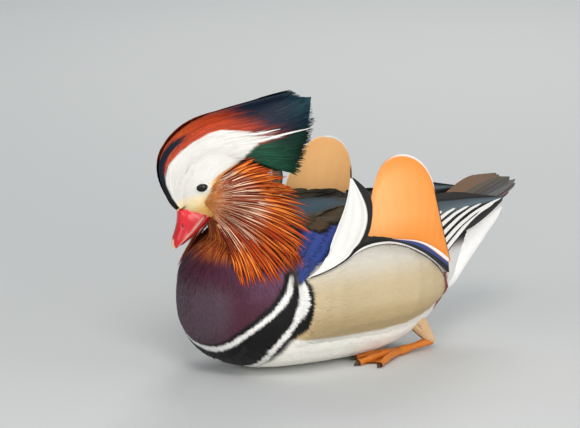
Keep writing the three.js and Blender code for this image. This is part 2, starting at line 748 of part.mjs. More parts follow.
function wingPad(side, grow = 0) {
  const columns = 9;
  const rows = 5;
  const outer = [];
  const inner = [];
  for (let c = 0; c < columns; c += 1) {
    const t = c / (columns - 1);
    const x = mix(WING.front, WING.rear, t);
    outer.push([]);
    inner.push([]);
    for (let r = 0; r < rows; r += 1) {
      const v = r / (rows - 1);
      const swell = Math.sin(Math.PI * mix(0.1, 0.9, v)) * Math.sin(Math.PI * mix(0.12, 0.9, t));
      const lift = 0.7 + WING.lift * swell ** 0.6;
      const low = mix(WING.lowerFront, WING.lower, Math.min(1, 3 * t));
      const turn = mix(mix(WING.upper + 14, WING.upper - 2, Math.min(1, 2.5 * t)), low, v);
      outer[c].push(skinPoint(x, turn, lift + grow, side));
      inner[c].push(skinPoint(x, turn, -SINK, side));
    }
  }
  return plate(outer, inner);
}

// a feather that lies on the body's skin, from one x to another
function lyingFeather(side, from, to, turns, half, lifts) {
  const stations = FEATHER_STEPS.map((share) => {
    const x = mix(from, to, share);
    const turn = mix(turns[0], turns[1], share);
    return {
      at: skinPoint(x, turn, mix(lifts[0], lifts[1], share), side), out: skinOut(x, turn, side),
      half: half * Math.sin(Math.PI * mix(0.28, 0.9, share)) ** 0.5, thick: VANE_HALF,
    };
  });
  return blade(stations, 0.04);
}

function wingShape(side) {
  const random = dice(side < 0 ? 31 : 32);
  const pieces = [wingPad(side)];
  for (const { from, to, turns, count, half, lift } of WING_TIERS) {
    for (let i = 0; i < count; i += 1) {
      const turn = mix(turns[0], turns[1], i / (count - 1));
      const end = to + 3 * random() - 6 * Math.abs(i / (count - 1) - 0.5);
      pieces.push(lyingFeather(side, from, end, [turn, turn - 2], half, [lift - 4.5, lift + 1.1 * (i % 2)]));
    }
  }
  return join(pieces);
}

// Sail

function sailShape(side, grow = 0) {
  const columns = 11;
  const rows = 4;
  const outer = [];
  const inner = [];
  for (let c = 0; c < columns; c += 1) {
    const t = c / (columns - 1);
    const foot = onLine(SAIL_BASE, t);
    const edge = onLine(SAIL_EDGE, t);
    outer.push([]);
    inner.push([]);
    for (let r = 0; r < rows; r += 1) {
      const v = r / (rows - 1);
      const p = spreadFrom(foot.clone().lerp(edge, v), SAIL_MIDDLE, grow);
      const lean = mix(SAIL_Y[0], SAIL_Y[1], clamp((p.z - SAIL_FOOT) / (SAIL_TOP - SAIL_FOOT), 0, 1) ** 1.5);
      const thick = mix(0.8, 0.45, v) + grow;
      outer[c].push(vec(p.x, side * (lean + thick), p.z));
      inner[c].push(vec(p.x, side * (lean - thick), p.z));
    }
  }
  return plate(outer, inner);
}

// the sail with its narrow outer web, which lies along the top of the flank
function sailWhole(side) {
  const stations = FEATHER_STEPS.map((share) => {
    const p = onLine(SAIL_BASE, mix(0.3, 0.99, share));
    return {
      at: vec(p.x, side * (SAIL_Y[0] + 1.4), p.z + 8), out: vec(0, side, 0.35).normalize(),
      half: 4.6 * Math.sin(Math.PI * mix(0.25, 0.8, share)), thick: 0.8,
    };
  });
  return sailShape(side).add(blade(stations, 0));
}

// Crescent of long shoulder feathers

function crescentPlain(side, grow = 0) {
  const rows = 9;
  const columns = 4;
  const outer = [];
  const inner = [];
  for (let r = 0; r < rows; r += 1) {
    const t = 0.02 + 0.96 * (r / (rows - 1));
    const front = onLine(CRESCENT_FRONT, t);
    const rear = onLine(CRESCENT_REAR, t);
    const y = crescentY(t);
    outer.push([]);
    inner.push([]);
    for (let c = 0; c < columns; c += 1) {
      const p = spreadFrom(front.clone().lerp(rear, c / (columns - 1)), CRESCENT_MIDDLE, grow);
      outer[r].push(vec(p.x, side * (y + 0.7 + grow), p.z));
      inner[r].push(vec(p.x, side * (y - 0.7 - grow), p.z));
    }
  }
  return plate(outer, inner);
}

const crescentY = (t) => (
  t < 0.5 ? mix(CRESCENT_Y[0], CRESCENT_Y[1], t * 2) : mix(CRESCENT_Y[1], CRESCENT_Y[2], t * 2 - 1)
);

// the small pad that the long shoulder feathers grow from
function crescentFoot(side, grow = 0) {
  const { x, z, lift, radii, slope } = CRESCENT;
  const middle = skinPoint(x, turnAtHeight(x, z), lift, side);
  return ellipsoid(middle, radii.map((radius) => radius + grow), new THREE.Euler(0, radians(slope), 0), 8, 5);
}

// each long shoulder feather runs from the foot of the crescent to its tip
function crescentShape(side) {
  const pieces = [crescentFoot(side)];
  const { count } = CRESCENT;
  for (let k = 0; k < count; k += 1) {
    const place = (k + 0.5) / count;
    const stations = CRESCENT_STEPS.map((share) => {
      const t = mix(0.06, 1 - 0.02 * k, share);
      const front = onLine(CRESCENT_FRONT, t);
      const rear = onLine(CRESCENT_REAR, t);
      const p = front.clone().lerp(rear, place);
      const half = Math.max(0.7 * front.distanceTo(rear) / count + 0.8, 1.4);
      const y = crescentY(t) + CRESCENT.layer * (count / 2 - k) * Math.min(1, share * 3);
      return { at: vec(p.x, side * y, p.z), out: vec(0, side, 0.15).normalize(), half, thick: VANE_HALF };
    });
    pieces.push(blade(stations, 0.05));
  }
  return join(pieces);
}

// Flight feathers and tail

function primariesShape(side, grow = 0) {
  const [rx, ry, rz] = PRIMARY.root;
  const radii = PRIMARY.padRadii.map((radius) => radius + grow);
  const pieces = [ellipsoid(vec(...mirroredTo(side, PRIMARY.pad)), radii, new THREE.Euler(), 10, 7)];
  PRIMARY.tips.forEach((x, i) => {
    const root = vec(rx, ry - PRIMARY.layer * i, rz + PRIMARY.rise * i);
    const t = (x - rx) / (PRIMARY.tips[0] - rx);
    const tip = vec(x, mix(ry, PRIMARY.tipY, t) - PRIMARY.layer * i, mix(root.z, PRIMARY.tipZ, t ** 0.25));
    const stations = FEATHER_STEPS.map((share) => {
      const p = root.clone().lerp(tip, share);
      p.z -= 2.2 * Math.sin(Math.PI * share);
      const half = PRIMARY.half * Math.sin(Math.PI * mix(0.3, 0.88, share)) ** 0.6 + grow;
      const at = vec(p.x, side * -p.y, p.z);
      return { at, out: vec(0, side * 0.88, 0.47), half, thick: VANE_HALF + grow };
    });
    pieces.push(blade(stations, 0.1));
  });
  return join(pieces);
}

const mirroredTo = (side, [x, y, z]) => [x, side * -y, z];

// the fan of the tail, whose right side curls up
function tailPoint(distance, aside, lift) {
  const rise = Math.tan(radians(TAIL.rise));
  const roll = aside > 0 ? TAIL.farRoll : TAIL.nearRoll;
  return vec(TAIL.root[0] + distance, aside, TAIL.root[1] + distance * rise + aside * roll + lift);
}

function tailRoom(grow) {
  const rings = [[0, -14, 15], [30, -16, 20], [60, -17, 27], [90, -16, 33]].map(([distance, near, far]) => (
    [[near, -9], [0, -9], [far, -9], [far, 1.5], [0, 4.5], [near, 1.5]].map(([y, up]) => (
      tailPoint(distance, y + grow * Math.sign(y), up + grow * Math.sign(up))
    ))
  ));
  return loft(rings);
}

function tailShape() {
  const random = dice(41);
  const rings = [[0, 12, 5.5], [22, 14, 5], [44, 14, 3]].map(([distance, half, thick]) => {
    const ring = [];
    for (let s = 0; s < 8; s += 1) {
      const angle = (2 * Math.PI * s) / 8;
      ring.push(tailPoint(distance, half * Math.sin(angle), thick * Math.cos(angle) - 3));
    }
    return ring;
  });
  const pieces = [loft(rings, null, tailPoint(50, 0, -3))];
  const feather = (from, to, place, half, lift) => {
    const stations = FEATHER_STEPS.map((share) => {
      const d = mix(from, to, share);
      return {
        at: tailPoint(d, place * TAIL.step + d * Math.tan(radians(TAIL.yaw + TAIL.fan * place)), lift),
        out: vec(-0.25, place > 0 ? -TAIL.farRoll : -TAIL.nearRoll, 1).normalize(),
        half: half * Math.sin(Math.PI * mix(0.3, 0.87, share)) ** 0.5, thick: VANE_HALF,
      };
    });
    return blade(stations, 0.05);
  };
  for (let i = 0; i < TAIL.count; i += 1) {
    const place = i - (TAIL.count - 1) / 2;
    const far = Math.abs(place);
    const length = TAIL.length * (1 - 0.0035 * far * far) + 2 * random();
    pieces.push(feather(14, length, place, TAIL.half, -0.95 * far + (place > 0 ? 0.5 : 0)));
  }
  // coverts over the root of the tail
  for (let i = 0; i < TAIL.coverts; i += 1) {
    const place = i - (TAIL.coverts - 1) / 2;
    const far = Math.abs(place);
    pieces.push(feather(4, 46 - 1.5 * far * far, place * 3, 6.5, 2.6 - 0.5 * far + 0.9 * (i % 2)));
  }
  return join(pieces);
}

function undertailPoint(x, turn, lift = 0) {
  const end = UNDERTAIL[UNDERTAIL.length - 1][0];
  const [, low, high, width] = along(UNDERTAIL, clamp(x, UNDERTAIL[0][0], end));
  const angle = radians(turn);
  const half = (high - low) / 2;
  return vec(x, (width + lift) * Math.sin(angle), (low + high) / 2 + (half + lift) * Math.cos(angle));
}

function undertailShape() {
  const sides = 12;
  const rings = UNDERTAIL.filter(([x]) => x < UNDERTAIL_CORE).map(([x]) => {
    const ring = [];
    for (let s = 0; s < sides; s += 1) ring.push(undertailPoint(x, (360 * s) / sides));
    return ring;
  });
  const pieces = [loft(rings, null, vec(UNDERTAIL_CORE + 8, 0, 80))];
  const random = dice(51);
  for (const { from, to, spread, count, half } of UNDERTAIL_TIERS) {
    for (let i = 0; i < count; i += 1) {
      const turn = 180 + mix(-spread, spread, i / (count - 1));
      const end = to + 5 * random() - 5 * Math.abs((2 * i) / (count - 1) - 1);
      const stations = FEATHER_STEPS.map((share) => {
        const x = mix(from, end, share);
        const at = undertailPoint(x, turn, mix(-SINK, 0.4 + 1.3 * (i % 2), Math.min(1, share * 3)));
        const out = undertailPoint(x, turn, 20).sub(at).normalize();
        return { at, out, half: half * Math.sin(Math.PI * mix(0.3, 0.9, share)) ** 0.6, thick: VANE_HALF };
      });
      pieces.push(blade(stations, 0.04));
    }
  }
  return join(pieces);
}

// Legs and feet

function footShape(side, grow = 0) {
  const [rx, ry] = FOOT_ROOT;
  const toes = [[8, -47, 2.6], [17, -62, 2.3], [18, -32, 2.2]];
  const tube = (a, b, ra, rb, claw = null) => {
    const rings = [0, 0.5, 1].map((t) => {
      const at = a.clone().lerp(b, t);
      const radius = mix(ra, rb, t) + grow;
      const ahead = b.clone().sub(a).normalize();
      const across = vec(-ahead.y, ahead.x, 0).normalize();
      const ring = [];
      for (let s = 0; s < 6; s += 1) {
        const angle = (2 * Math.PI * (s + 0.5)) / 6;
        const p = at.clone().addScaledVector(across, radius * Math.cos(angle));
        ring.push(vec(p.x, p.y, Math.max(p.z + radius * Math.sin(angle), -grow)));
      }
      return ring;
    });
    return loft(rings, null, claw);
  };
  const knuckle = vec(rx, ry, 3);
  const pieces = [tube(vec(...HEEL), knuckle, 3.4, 3.2)];
  for (const [x, y, radius] of toes) {
    const end = vec(x, y, 1.8);
    const ahead = end.clone().sub(knuckle).setZ(0).normalize();
    const claw = end.clone().addScaledVector(ahead, 5).setZ(1);
    pieces.push(tube(vec(rx + 3, ry, 2.8), end, 3, radius - 0.6, claw));
  }
  const [middleToe, outerToe, innerToe] = toes;
  const web = new THREE.Shape([
    [rx, ry + 2], [rx, ry - 2], [outerToe[0] + 3, outerToe[1]],
    [outerToe[0] + 1, (middleToe[1] + outerToe[1]) / 2], [middleToe[0] + 4, middleToe[1]],
    [innerToe[0] + 1, (middleToe[1] + innerToe[1]) / 2], [innerToe[0] + 3, innerToe[1]],
  ].map(([x, y]) => new THREE.Vector2(x, y)));
  const sheet = new THREE.ExtrudeGeometry(web, { depth: 1.2 + grow, bevelEnabled: false });
  pieces.push(fromGeometry(sheet, new THREE.Matrix4().makeTranslation(0, 0, 0.8)));
  const left = join(pieces);
  return side < 0 ? left : mirrored(left);
}

function legShape(side) {
  const top = vec(70, -36, 26);
  const foot = vec(HEEL[0] - 2, HEEL[1], HEEL[2] + 2);
  const rings = [0, 0.5, 1].map((t) => {
    const at = top.clone().lerp(foot, t);
    const radius = mix(11, 4.4, t);
    const ring = [];
    for (let s = 0; s < 10; s += 1) {
      const angle = (2 * Math.PI * s) / 10;
      ring.push(vec(at.x + radius * Math.cos(angle), at.y + radius * Math.sin(angle), at.z));
    }
    return ring;
  });
  const left = loft(rings);
  return side < 0 ? left : mirrored(left);
}

// Assembly

const duck = new THREE.Group();

function add(name, shape, colour, roughness = 0.7) {
  const { numProp, vertProperties, triVerts } = shape.getMesh();
  const place = new Float32Array((vertProperties.length / numProp) * 3);
  for (let i = 0; i < place.length / 3; i += 1) {
    for (let k = 0; k < 3; k += 1) place[i * 3 + k] = vertProperties[i * numProp + k];
  }
  const geometry = new THREE.BufferGeometry();
  geometry.setAttribute('position', new THREE.BufferAttribute(place, 3));
  geometry.setIndex([...triVerts]);
  geometry.computeVertexNormals();
  const surface = new THREE.MeshStandardMaterial({ color: colour, roughness, metalness: 0 });
  const mesh = new THREE.Mesh(geometry, surface);
  mesh.name = name;
  duck.add(mesh);
}

const body = bodyShape();
const bodyRoom = bodyShape(GAP);
const feet = [-1, 1].map((side) => footShape(side));
const feetRoom = [-1, 1].map((side) => footShape(side, GAP));
const middle = fit(body.intersect(slab(BREAST_CUT, RUMP_CUT)), ...feetRoom);
add('torso', middle, COLOUR.back, 0.85);
add('breast', fit(body.intersect(slab(-200, BREAST_CUT - GAP))), COLOUR.breast, 0.75);
add('rump', fit(body.intersect(slab(RUMP_CUT + GAP, 300))), COLOUR.rump, 0.8);

const headRoom = headShape(GAP);
add('neck', fit(neckShape(), bodyRoom, headRoom), COLOUR.neck, 0.75);
const neckRoom = neckShape(GAP);

const eyes = [-1, 1].map((side) => eyeShape(side));
const eyesRoom = [-1, 1].map((side) => eyeShape(side, GAP));
const face = join([headShape(), lidShape(-1), lidShape(1)]);
add('head', fit(face, ...eyesRoom), COLOUR.face, 0.7);
add('eye_left', eyes[0], COLOUR.eye, 0.1);
add('eye_right', eyes[1], COLOUR.eye, 0.1);

add('bill_upper', fit(billUpperShape(), headRoom), COLOUR.bill, 0.4);
add('bill_lower', fit(billLowerShape(), headRoom, billUpperShape(GAP)), COLOUR.bill, 0.4);

add('crest', fit(crestShape(), headRoom, neckRoom), COLOUR.crest, 0.6);
const overCrest = crestRoom(LOCK_ROOM);

add('undertail', fit(undertailShape(), bodyRoom, tailRoom(GAP)), COLOUR.undertail, 0.8);
add('tail', fit(tailShape(), bodyRoom), COLOUR.tail, 0.7);

for (const side of [-1, 1]) {
  const end = side < 0 ? 'left' : 'right';
  const index = side < 0 ? 0 : 1;
  const flankRoom = flankShape(side, GAP);
  const sailRoom = sailShape(side, 2 * GAP);
  const crescentRoom = crescentPlain(side, 6 * GAP).add(crescentFoot(side, 3 * GAP));
  const wingWhole = wingShape(side);
  const wingAside = wingWhole.translate([-GAP, side * GAP, GAP]);
  const wingRoom = join([wingPad(side, 1.6 * LOCK_ROOM), wingWhole, wingAside]);
  const primaries = fit(primariesShape(side), bodyRoom, flankRoom, sailRoom, tailRoom(GAP));
  add(`flank_${end}`, fit(flankShape(side), bodyRoom, feetRoom[index]), COLOUR.flank, 0.8);
  add(`sail_${end}`, fit(sailWhole(side), bodyRoom, flankRoom), COLOUR.sail, 0.6);
  add(`scapulars_${end}`, fit(crescentShape(side), bodyRoom, flankRoom), COLOUR.crescent, 0.7);
  add(`primaries_${end}`, primaries, COLOUR.primary, 0.6);
  const wingNeighbours = [bodyRoom, flankRoom, sailRoom, crescentRoom, primariesShape(side, 2 * GAP)];
  add(`wing_${end}`, fit(wingWhole, ...wingNeighbours), COLOUR.wing, 0.5);
  const ruff = fit(ruffShape(side), bodyRoom, neckRoom, headRoom, overCrest, wingRoom, crescentRoom);
  add(`whiskers_${end}`, ruff, COLOUR.ruff, 0.7);
  add(`foot_${end}`, feet[index], COLOUR.foot, 0.5);
  add(`leg_${end}`, fit(legShape(side), bodyRoom, feetRoom[index], flankRoom), COLOUR.leg, 0.8);
}

export default duck;
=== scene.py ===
# A mandarin duck (drake), life size, dressed over the frame's solids.
# Sizes are in millimetres in the frame's axes: the bird faces -X, its left side is -Y and +Z is up.
# Each feather is a thin curved vane; its colour comes from where it grows, by the markings below.
import math
import bpy
import numpy as np
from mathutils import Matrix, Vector
from mathutils.bvhtree import BVHTree


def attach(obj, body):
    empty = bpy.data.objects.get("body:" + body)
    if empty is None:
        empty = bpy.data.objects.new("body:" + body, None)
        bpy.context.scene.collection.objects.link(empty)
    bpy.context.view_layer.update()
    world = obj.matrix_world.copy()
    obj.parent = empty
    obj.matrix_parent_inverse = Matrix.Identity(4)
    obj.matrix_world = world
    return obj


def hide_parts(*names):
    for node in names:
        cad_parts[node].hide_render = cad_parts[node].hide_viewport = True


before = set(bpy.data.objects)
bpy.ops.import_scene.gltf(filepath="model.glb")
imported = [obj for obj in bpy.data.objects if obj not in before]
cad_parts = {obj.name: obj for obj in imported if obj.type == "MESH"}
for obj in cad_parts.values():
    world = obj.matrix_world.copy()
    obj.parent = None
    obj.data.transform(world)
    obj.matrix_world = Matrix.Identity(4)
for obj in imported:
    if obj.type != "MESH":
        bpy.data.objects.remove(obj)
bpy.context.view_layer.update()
MM = 0.001
SIDES = {-1: "left", 1: "right"}

# Camera, as the photograph was taken: bearings in degrees, distances in millimetres
CAMERA = {"azimuth": -38, "elevation": 12, "distance": 4000, "across": 447, "aim_right": -16.9,
          "aim_up": 109.3}

# Colours, as web colours
HEX = {
    "white": "e2e0dc", "black": "0d0c0d", "maroon": "46202f", "violet_and_highlight": "6a4660", "wine": "4a1a1c",
    "breast_grey_sheen": "544a52", "belly": "efece4", "flank": "c2af8b", "flank_top": "cac5ba",
    "flank_low": "b89e70", "vermicule": "4a3d2c", "mantle": "4a4336", "mantle_dark": "3a3226",
    "olive": "48452f", "teal": "2a4a5a", "lens_brown": "4b3c2a", "brown": "77685a", "rump": "231e1b",
    "rufous": "7d2a1a", "hindneck": "5b2414", "chestnut": "8c3a14", "face": "d8d5cf", "cream": "efdcae",
    "buff": "e0b163", "cheek": "cc8440", "copper": "aa3814", "copper_light": "c65722",
    "copper_deep": "7c2415", "navy": "0c1a2c", "teal_tip": "0d3841", "green": "0b2f24",
    "green_light": "134431", "green_black": "0a1a14", "ruff_edge": "440f04", "ruff": "9c3208",
    "ruff_tip": "c04a14", "ruff_shaft": "ffeccb", "ruff_streak": "f08a38", "blue": "2c3f7c",
    "blue_light": "454f98", "blue_dark": "1a1f3d", "sail": "ea9444", "sail_painted_light": "f2ac6a",
    "sail_inner_painted_light": "ffc683", "sail_deep_and_shade": "e2862f", "slate": "56646d", "tail": "5b4c39",
    "tail_slate": "474b4d", "tail_fringe": "8c5a4e", "tail_rust": "9a6238", "web": "c9711f",
    "bill": "bd0a1a", "bill_highlight": "e21c2c", "tomium": "e9b7a4", "nail": "eec7a4", "leg": "d8b48a",
    # undertail is a white painted brighter than the others: painted light for its shaded place under the wing
    # tips.
    "foot": "d97a1e", "claw": "3a2a1d", "iris": "2a160c", "pupil": "030303", "undertail": "fbfaf7",
}


def linear(value):
    """A web colour in linear light."""
    parts = np.array([int(value[i:i + 2], 16) / 255 for i in (0, 2, 4)])
    return np.where(parts <= 0.04045, parts / 12.92, ((parts + 0.055) / 1.055) ** 2.4)


TINT = {name: linear(value) for name, value in HEX.items()}


# Small mathematics

def ramp(low, high, x):
    """0 below low, 1 above high, smooth between; low may be the greater."""
    t = np.clip((np.asarray(x, float) - low) / (high - low), 0, 1)
    return t * t * (3 - 2 * t)


def hump(share):
    """0 at the shares 0 and 1, and 1 halfway."""
    return np.sin(math.pi * share)


def grown(share, rate):
    """0 at a feather's root, rising evenly and staying at 1."""
    return np.minimum(1, share * rate)


def circle(count, whole=2 * math.pi):
    """Bearings in even steps all round."""
    return np.linspace(0, whole, count, endpoint=False)


def blend(a, b, t):
    """Point or colour a where t is 0 and b where t is 1; colours may go by their names."""
    a, b = (TINT[c] if isinstance(c, str) else c for c in (a, b))
    t = np.asarray(t, float)[..., None]
    return a * (1 - t) + b * t


def paint(colour, *layers):
    """A colour with others laid over it in turn, each with its own strength."""
    for over, strength in layers:
        colour = blend(colour, over, strength)
    return colour


def unit(v):
    return v / np.maximum(np.linalg.norm(v, axis=-1, keepdims=True), 1e-9)


def across_normal(way, normal):
    """The way, turned until it lies square to the normal."""
    return unit(way - normal * (way * normal).sum(-1, keepdims=True))


def columns(rows, x):
    """The columns after the first of a table of rows, read at places x of its first column."""
    rows = sorted(rows)
    at = [row[0] for row in rows]
    return [np.interp(x, at, column) for column in list(zip(*rows))[1:]]


def table(points, x):
    """Height of a line through points, given in any order of x."""
    return columns(points, x)[0]


def rounded(rows, x, spread):
    """columns, with corners rounded by averaging over the places in spread."""
    return np.mean([columns(rows, x + step) for step in spread], axis=0)


def on_line(points, t):
    """Points at shares t of a line's length."""
    points = np.asarray(points, float)
    steps = np.linalg.norm(np.diff(points, axis=0), axis=1)
    at = np.concatenate([[0], np.cumsum(steps)])
    t = np.asarray(t, float) * at[-1]
    return np.stack([np.interp(t, at, points[:, k]) for k in range(points.shape[1])], -1)


def smooth_line(points, t):
    """on_line, with its corners rounded by averaging over a short stretch."""
    spread = np.linspace(-0.07, 0.07, 9)
    return np.mean([on_line(points, np.clip(t + s, 0, 1)) for s in spread], axis=0)


def read_grid(grid, row, col):
    """A grid of values or points, read between its places."""
    i = np.minimum(row.astype(int), grid.shape[0] - 2)
    j = np.minimum(col.astype(int), grid.shape[1] - 2)
    p, q = row - i, col - j
    if grid.ndim > 2:
        p, q = p[..., None], q[..., None]
    return (grid[i, j] * (1 - p) * (1 - q) + grid[i + 1, j] * p * (1 - q) + grid[i, j + 1] * (1 - p) * q
            + grid[i + 1, j + 1] * p * q)


def wobble(p, size, seed):
    """Smooth noise of about -1 to 1 over points, with features of that size."""
    p = np.asarray(p, float) / size
    total = np.zeros(p.shape[:-1])
    rng = np.random.default_rng(seed)
    for _ in range(5):
        wave = rng.normal(size=3) * 1.4
        total += np.sin(p @ wave + rng.uniform(0, 6.28))
    return total / 3


# The head's own frame: f ahead, y aside and h up, as the solids have it

GAPE = np.array([-104.0, 0.0, 125.6])
PITCH, YAW = math.radians(-47), math.radians(-26)
ABOUT_Y = np.array([[math.cos(PITCH), 0, math.sin(PITCH)], [0, 1, 0], [-math.sin(PITCH), 0, math.cos(PITCH)]])
ABOUT_Z = np.array([[math.cos(YAW), -math.sin(YAW), 0], [math.sin(YAW), math.cos(YAW), 0], [0, 0, 1]])
HEAD_TURN = ABOUT_Z @ ABOUT_Y


def point(x, y, z):
    return np.stack(np.broadcast_arrays(*(np.asarray(v, float) for v in (x, y, z))), -1)


def on_head(f, y, h):
    return GAPE + point(-np.asarray(f, float), y, h) @ HEAD_TURN.T


def from_head(p):
    q = (np.asarray(p, float) - GAPE) @ HEAD_TURN
    return -q[..., 0], q[..., 1], q[..., 2]


def head_way(f, y, h):
    """A direction in the head's frame, in the world's."""
    return HEAD_TURN @ np.array([-f, y, h], float)


# Markings of the head, as lines in f and h

BROW_TOP = [(9.1, 18.1), (6.4, 29.7), (2.4, 39.3), (-2.1, 44.9), (-9.7, 49.1), (-24, 50.1), (-35.6, 47.4),
            (-48.6, 42.8), (-56, 37.8), (-62.8, 28.9), (-71.5, 17.9), (-78.8, 10.7), (-90, 1)]
BROW_FOOT = [(9.1, 14), (-12, 14), (-18.5, 17.5), (-24.9, 16.9), (-32.4, 15.7), (-41.3, 12.6), (-49.5, 9.6),
             (-55.8, 10.5), (-62.7, 10.1), (-67.9, 9.3), (-75, 4), (-82, -2)]
CREAM_TOP = [(9, 27), (2.5, 24.3), (-6.3, 20.4), (-12.9, 17), (-20, 13)]
CHEEK_FRONT = [(2.9, -0.4), (7.8, -9.7), (10.9, -15.5), (15.2, -18.5), (18, -22)]
GREEN_TOP = [(-60, 12), (-70, 8), (-84, -2), (-104, -14), (-120, -20)]
NAVY_INNER = [(0, 0), (-4, 3), (-10, 5.2), (-20, 6), (-30, 9), (-36, 12)]
NAVY_OUTER = [(0, 8.5), (-10, 10.4), (-20, 11.5), (-30, 13), (-36, 13)]
NAVY_FAR = 4.0

# The open eye: its middle in f and h, its half length and half height, its slant, and how pointed it is
EYE = (-14.2, 19.4)
EYE_SIZE = (3.8, 2.6)
EYE_COS, EYE_SIN = math.cos(math.radians(30)), math.sin(math.radians(30))
EYE_POWER = 1.75
LID_WIDTH = 0.5


def eye_distance(f, h):
    """1 on the outline of the open eye, more outside it."""
    along = (f - EYE[0]) * EYE_COS + (h - EYE[1]) * EYE_SIN
    over = (h - EYE[1]) * EYE_COS - (f - EYE[0]) * EYE_SIN
    total = np.abs(along / EYE_SIZE[0]) ** EYE_POWER + np.abs(over / EYE_SIZE[1]) ** EYE_POWER
    return total ** (1 / EYE_POWER)


def crest_tint(f, y, h, jitter=0.0):
    """Copper over the crown, navy and green to the tips, green below the white stripe."""
    f = f + jitter
    light = ramp(52, 60, h + 0.2 * np.abs(f + 30)) * ramp(-70, -20, f)
    copper = paint("copper_deep", ("copper", ramp(-84, -62, f)), ("copper_light", 0.75 * light))
    teal = blend("navy", "teal_tip", ramp(-92, -116, f) * ramp(26, -6, h))
    stripe = table(BROW_TOP, f) - 2
    green = blend("green_light", "green", ramp(-68, -84, f) + 0.4 * ramp(-10, -28, h))
    green = blend("green_black", green, ramp(0, 7, stripe - h - 3) * ramp(-52, -60, f))
    below = ramp(1.5, -1.5, h - np.minimum(stripe, table(GREEN_TOP, f)))
    inner, outer = table(NAVY_INNER, f), table(NAVY_OUTER, f)
    side = np.abs(y) - np.where(y > 0, NAVY_FAR * ramp(-4, -12, f), 0)
    band = ramp(inner - 1, inner + 1, side) * ramp(outer + 1, outer - 0.6, side) * ramp(-36, -30, f)
    dark = blend("navy", "black", ramp(-4, 6, f))
    return paint(teal, (copper, ramp(-88, -71, f - 0.36 * (h - 14))), (green, below * ramp(-50, -54, f)),
                 (dark, np.where(f > -3, 1.0, band)))


def face_tint(f, h):
    """White brow, cream lores, orange cheek and a pale ring round the eye."""
    streak = 2.2 * np.sin(2.4 * (h + 0.5 * f)) * np.sin(0.9 * h + 1.1)
    edge = table(CREAM_TOP, f)
    over_foot = h - table(BROW_FOOT, f)
    white = np.where(f < EYE[0] - 3, ramp(-0.8, 1.2, over_foot), ramp(edge - 7, edge + 1.5, h))
    cheek = ramp(1.5, -9.0, f + streak - table(CHEEK_FRONT, h))
    nape = ramp(0.6, -1.2, over_foot) * ramp(-42, -48, f)
    return paint("cream", ("buff", ramp(15, 5, h)), ("cheek", cheek), ("face", white),
                 ("face", ramp(1.9, 1.5, eye_distance(f, h))), ("green_black", nape))


def head_tint(p):
    """The face, the crest's colours above the brow, and the dark stripe over the bill."""
    f, y, h = from_head(p)
    over = ramp(-0.8, 0.8, h - table(BROW_TOP, f))
    front = ramp(8.6, 7.4, np.abs(y)) * ramp(0, 4, f) * ramp(14, 18, h)
    return blend(face_tint(f, h), crest_tint(f, y, h), np.maximum(over, front))


# Markings of the body, as lines in x and z on each side

BARS = [  # height, then x of each edge from front to rear
    (84, -70.5, -66.5, -64.5, -61.0, -58.2, -56.5), (80, -71.5, -68.0, -64.6, -61.6, -57.0, -54.4),
    (70, -76.0, -71.2, -66.6, -62.0, -56.3, -52.3), (61, -82.5, -77.2, -71.5, -62.2, -57.7, -52.6),
    (48, -94.5, -89.2, -84.6, -65.3, -61.4, -55.8), (36, -102.5, -99.6, -95.6, -72.4, -66.9, -60.6),
    (24, -107.0, -104.5, -101.0, -78.0, -73.0, -66.0),
]
FLANK_TOP = [(-62, 74), (-44, 86.2), (-19, 97.6), (2, 99.5), (37, 94.5), (64, 82.6), (81, 70.4), (94, 56)]
FLANK_FOOT = [(-62, 33), (-22, 30), (18, 29), (51, 31), (76, 35), (90, 43), (96, 52)]

# The lens-shaped teal patch of the back: its edge in x and y
LENS_EDGE = [(-46, 34), (-42, 41), (-38, 47), (-33, 51.5), (-27, 51.5), (-14, 47), (-2, 43.5), (8, 38)]


def back_tint(p):
    """Teal along the back, brown beside it, a dark line, then the blue shoulder."""
    x, y, z = p[..., 0], p[..., 1], p[..., 2]
    side = np.abs(y)
    past = side - table(LENS_EDGE, x)
    lens = paint("lens_brown", ("teal", ramp(30, 16, side) * ramp(-44, -30, x)),
                 ("olive", 0.7 * ramp(-14, 4, x) * ramp(8, 30, side)))
    vein = ramp(0.75, 0.95, np.sin(0.75 * (0.8 * x - z)))
    blue = paint("blue", ("blue_light", 0.6 * ramp(98, 114, z)), ("blue_dark", 0.8 * vein))
    blue = blend("mantle_dark", blue, ramp(-63, -58, x) * ramp(4, 0, x))
    return paint(lens, ("black", ramp(-1.4, -0.2, past)), (blue, ramp(1.2, 2.6, past)),
                 ("mantle_dark", ramp(-44, -52, x) * ramp(56, 50, side)), ("rump", ramp(8, 40, x)))


def white_bar(x, z, front, rear):
    return ramp(-0.7, 0.5, x - front) * ramp(0.7, -0.5, x - rear) * ramp(83.5, 80.5, z)


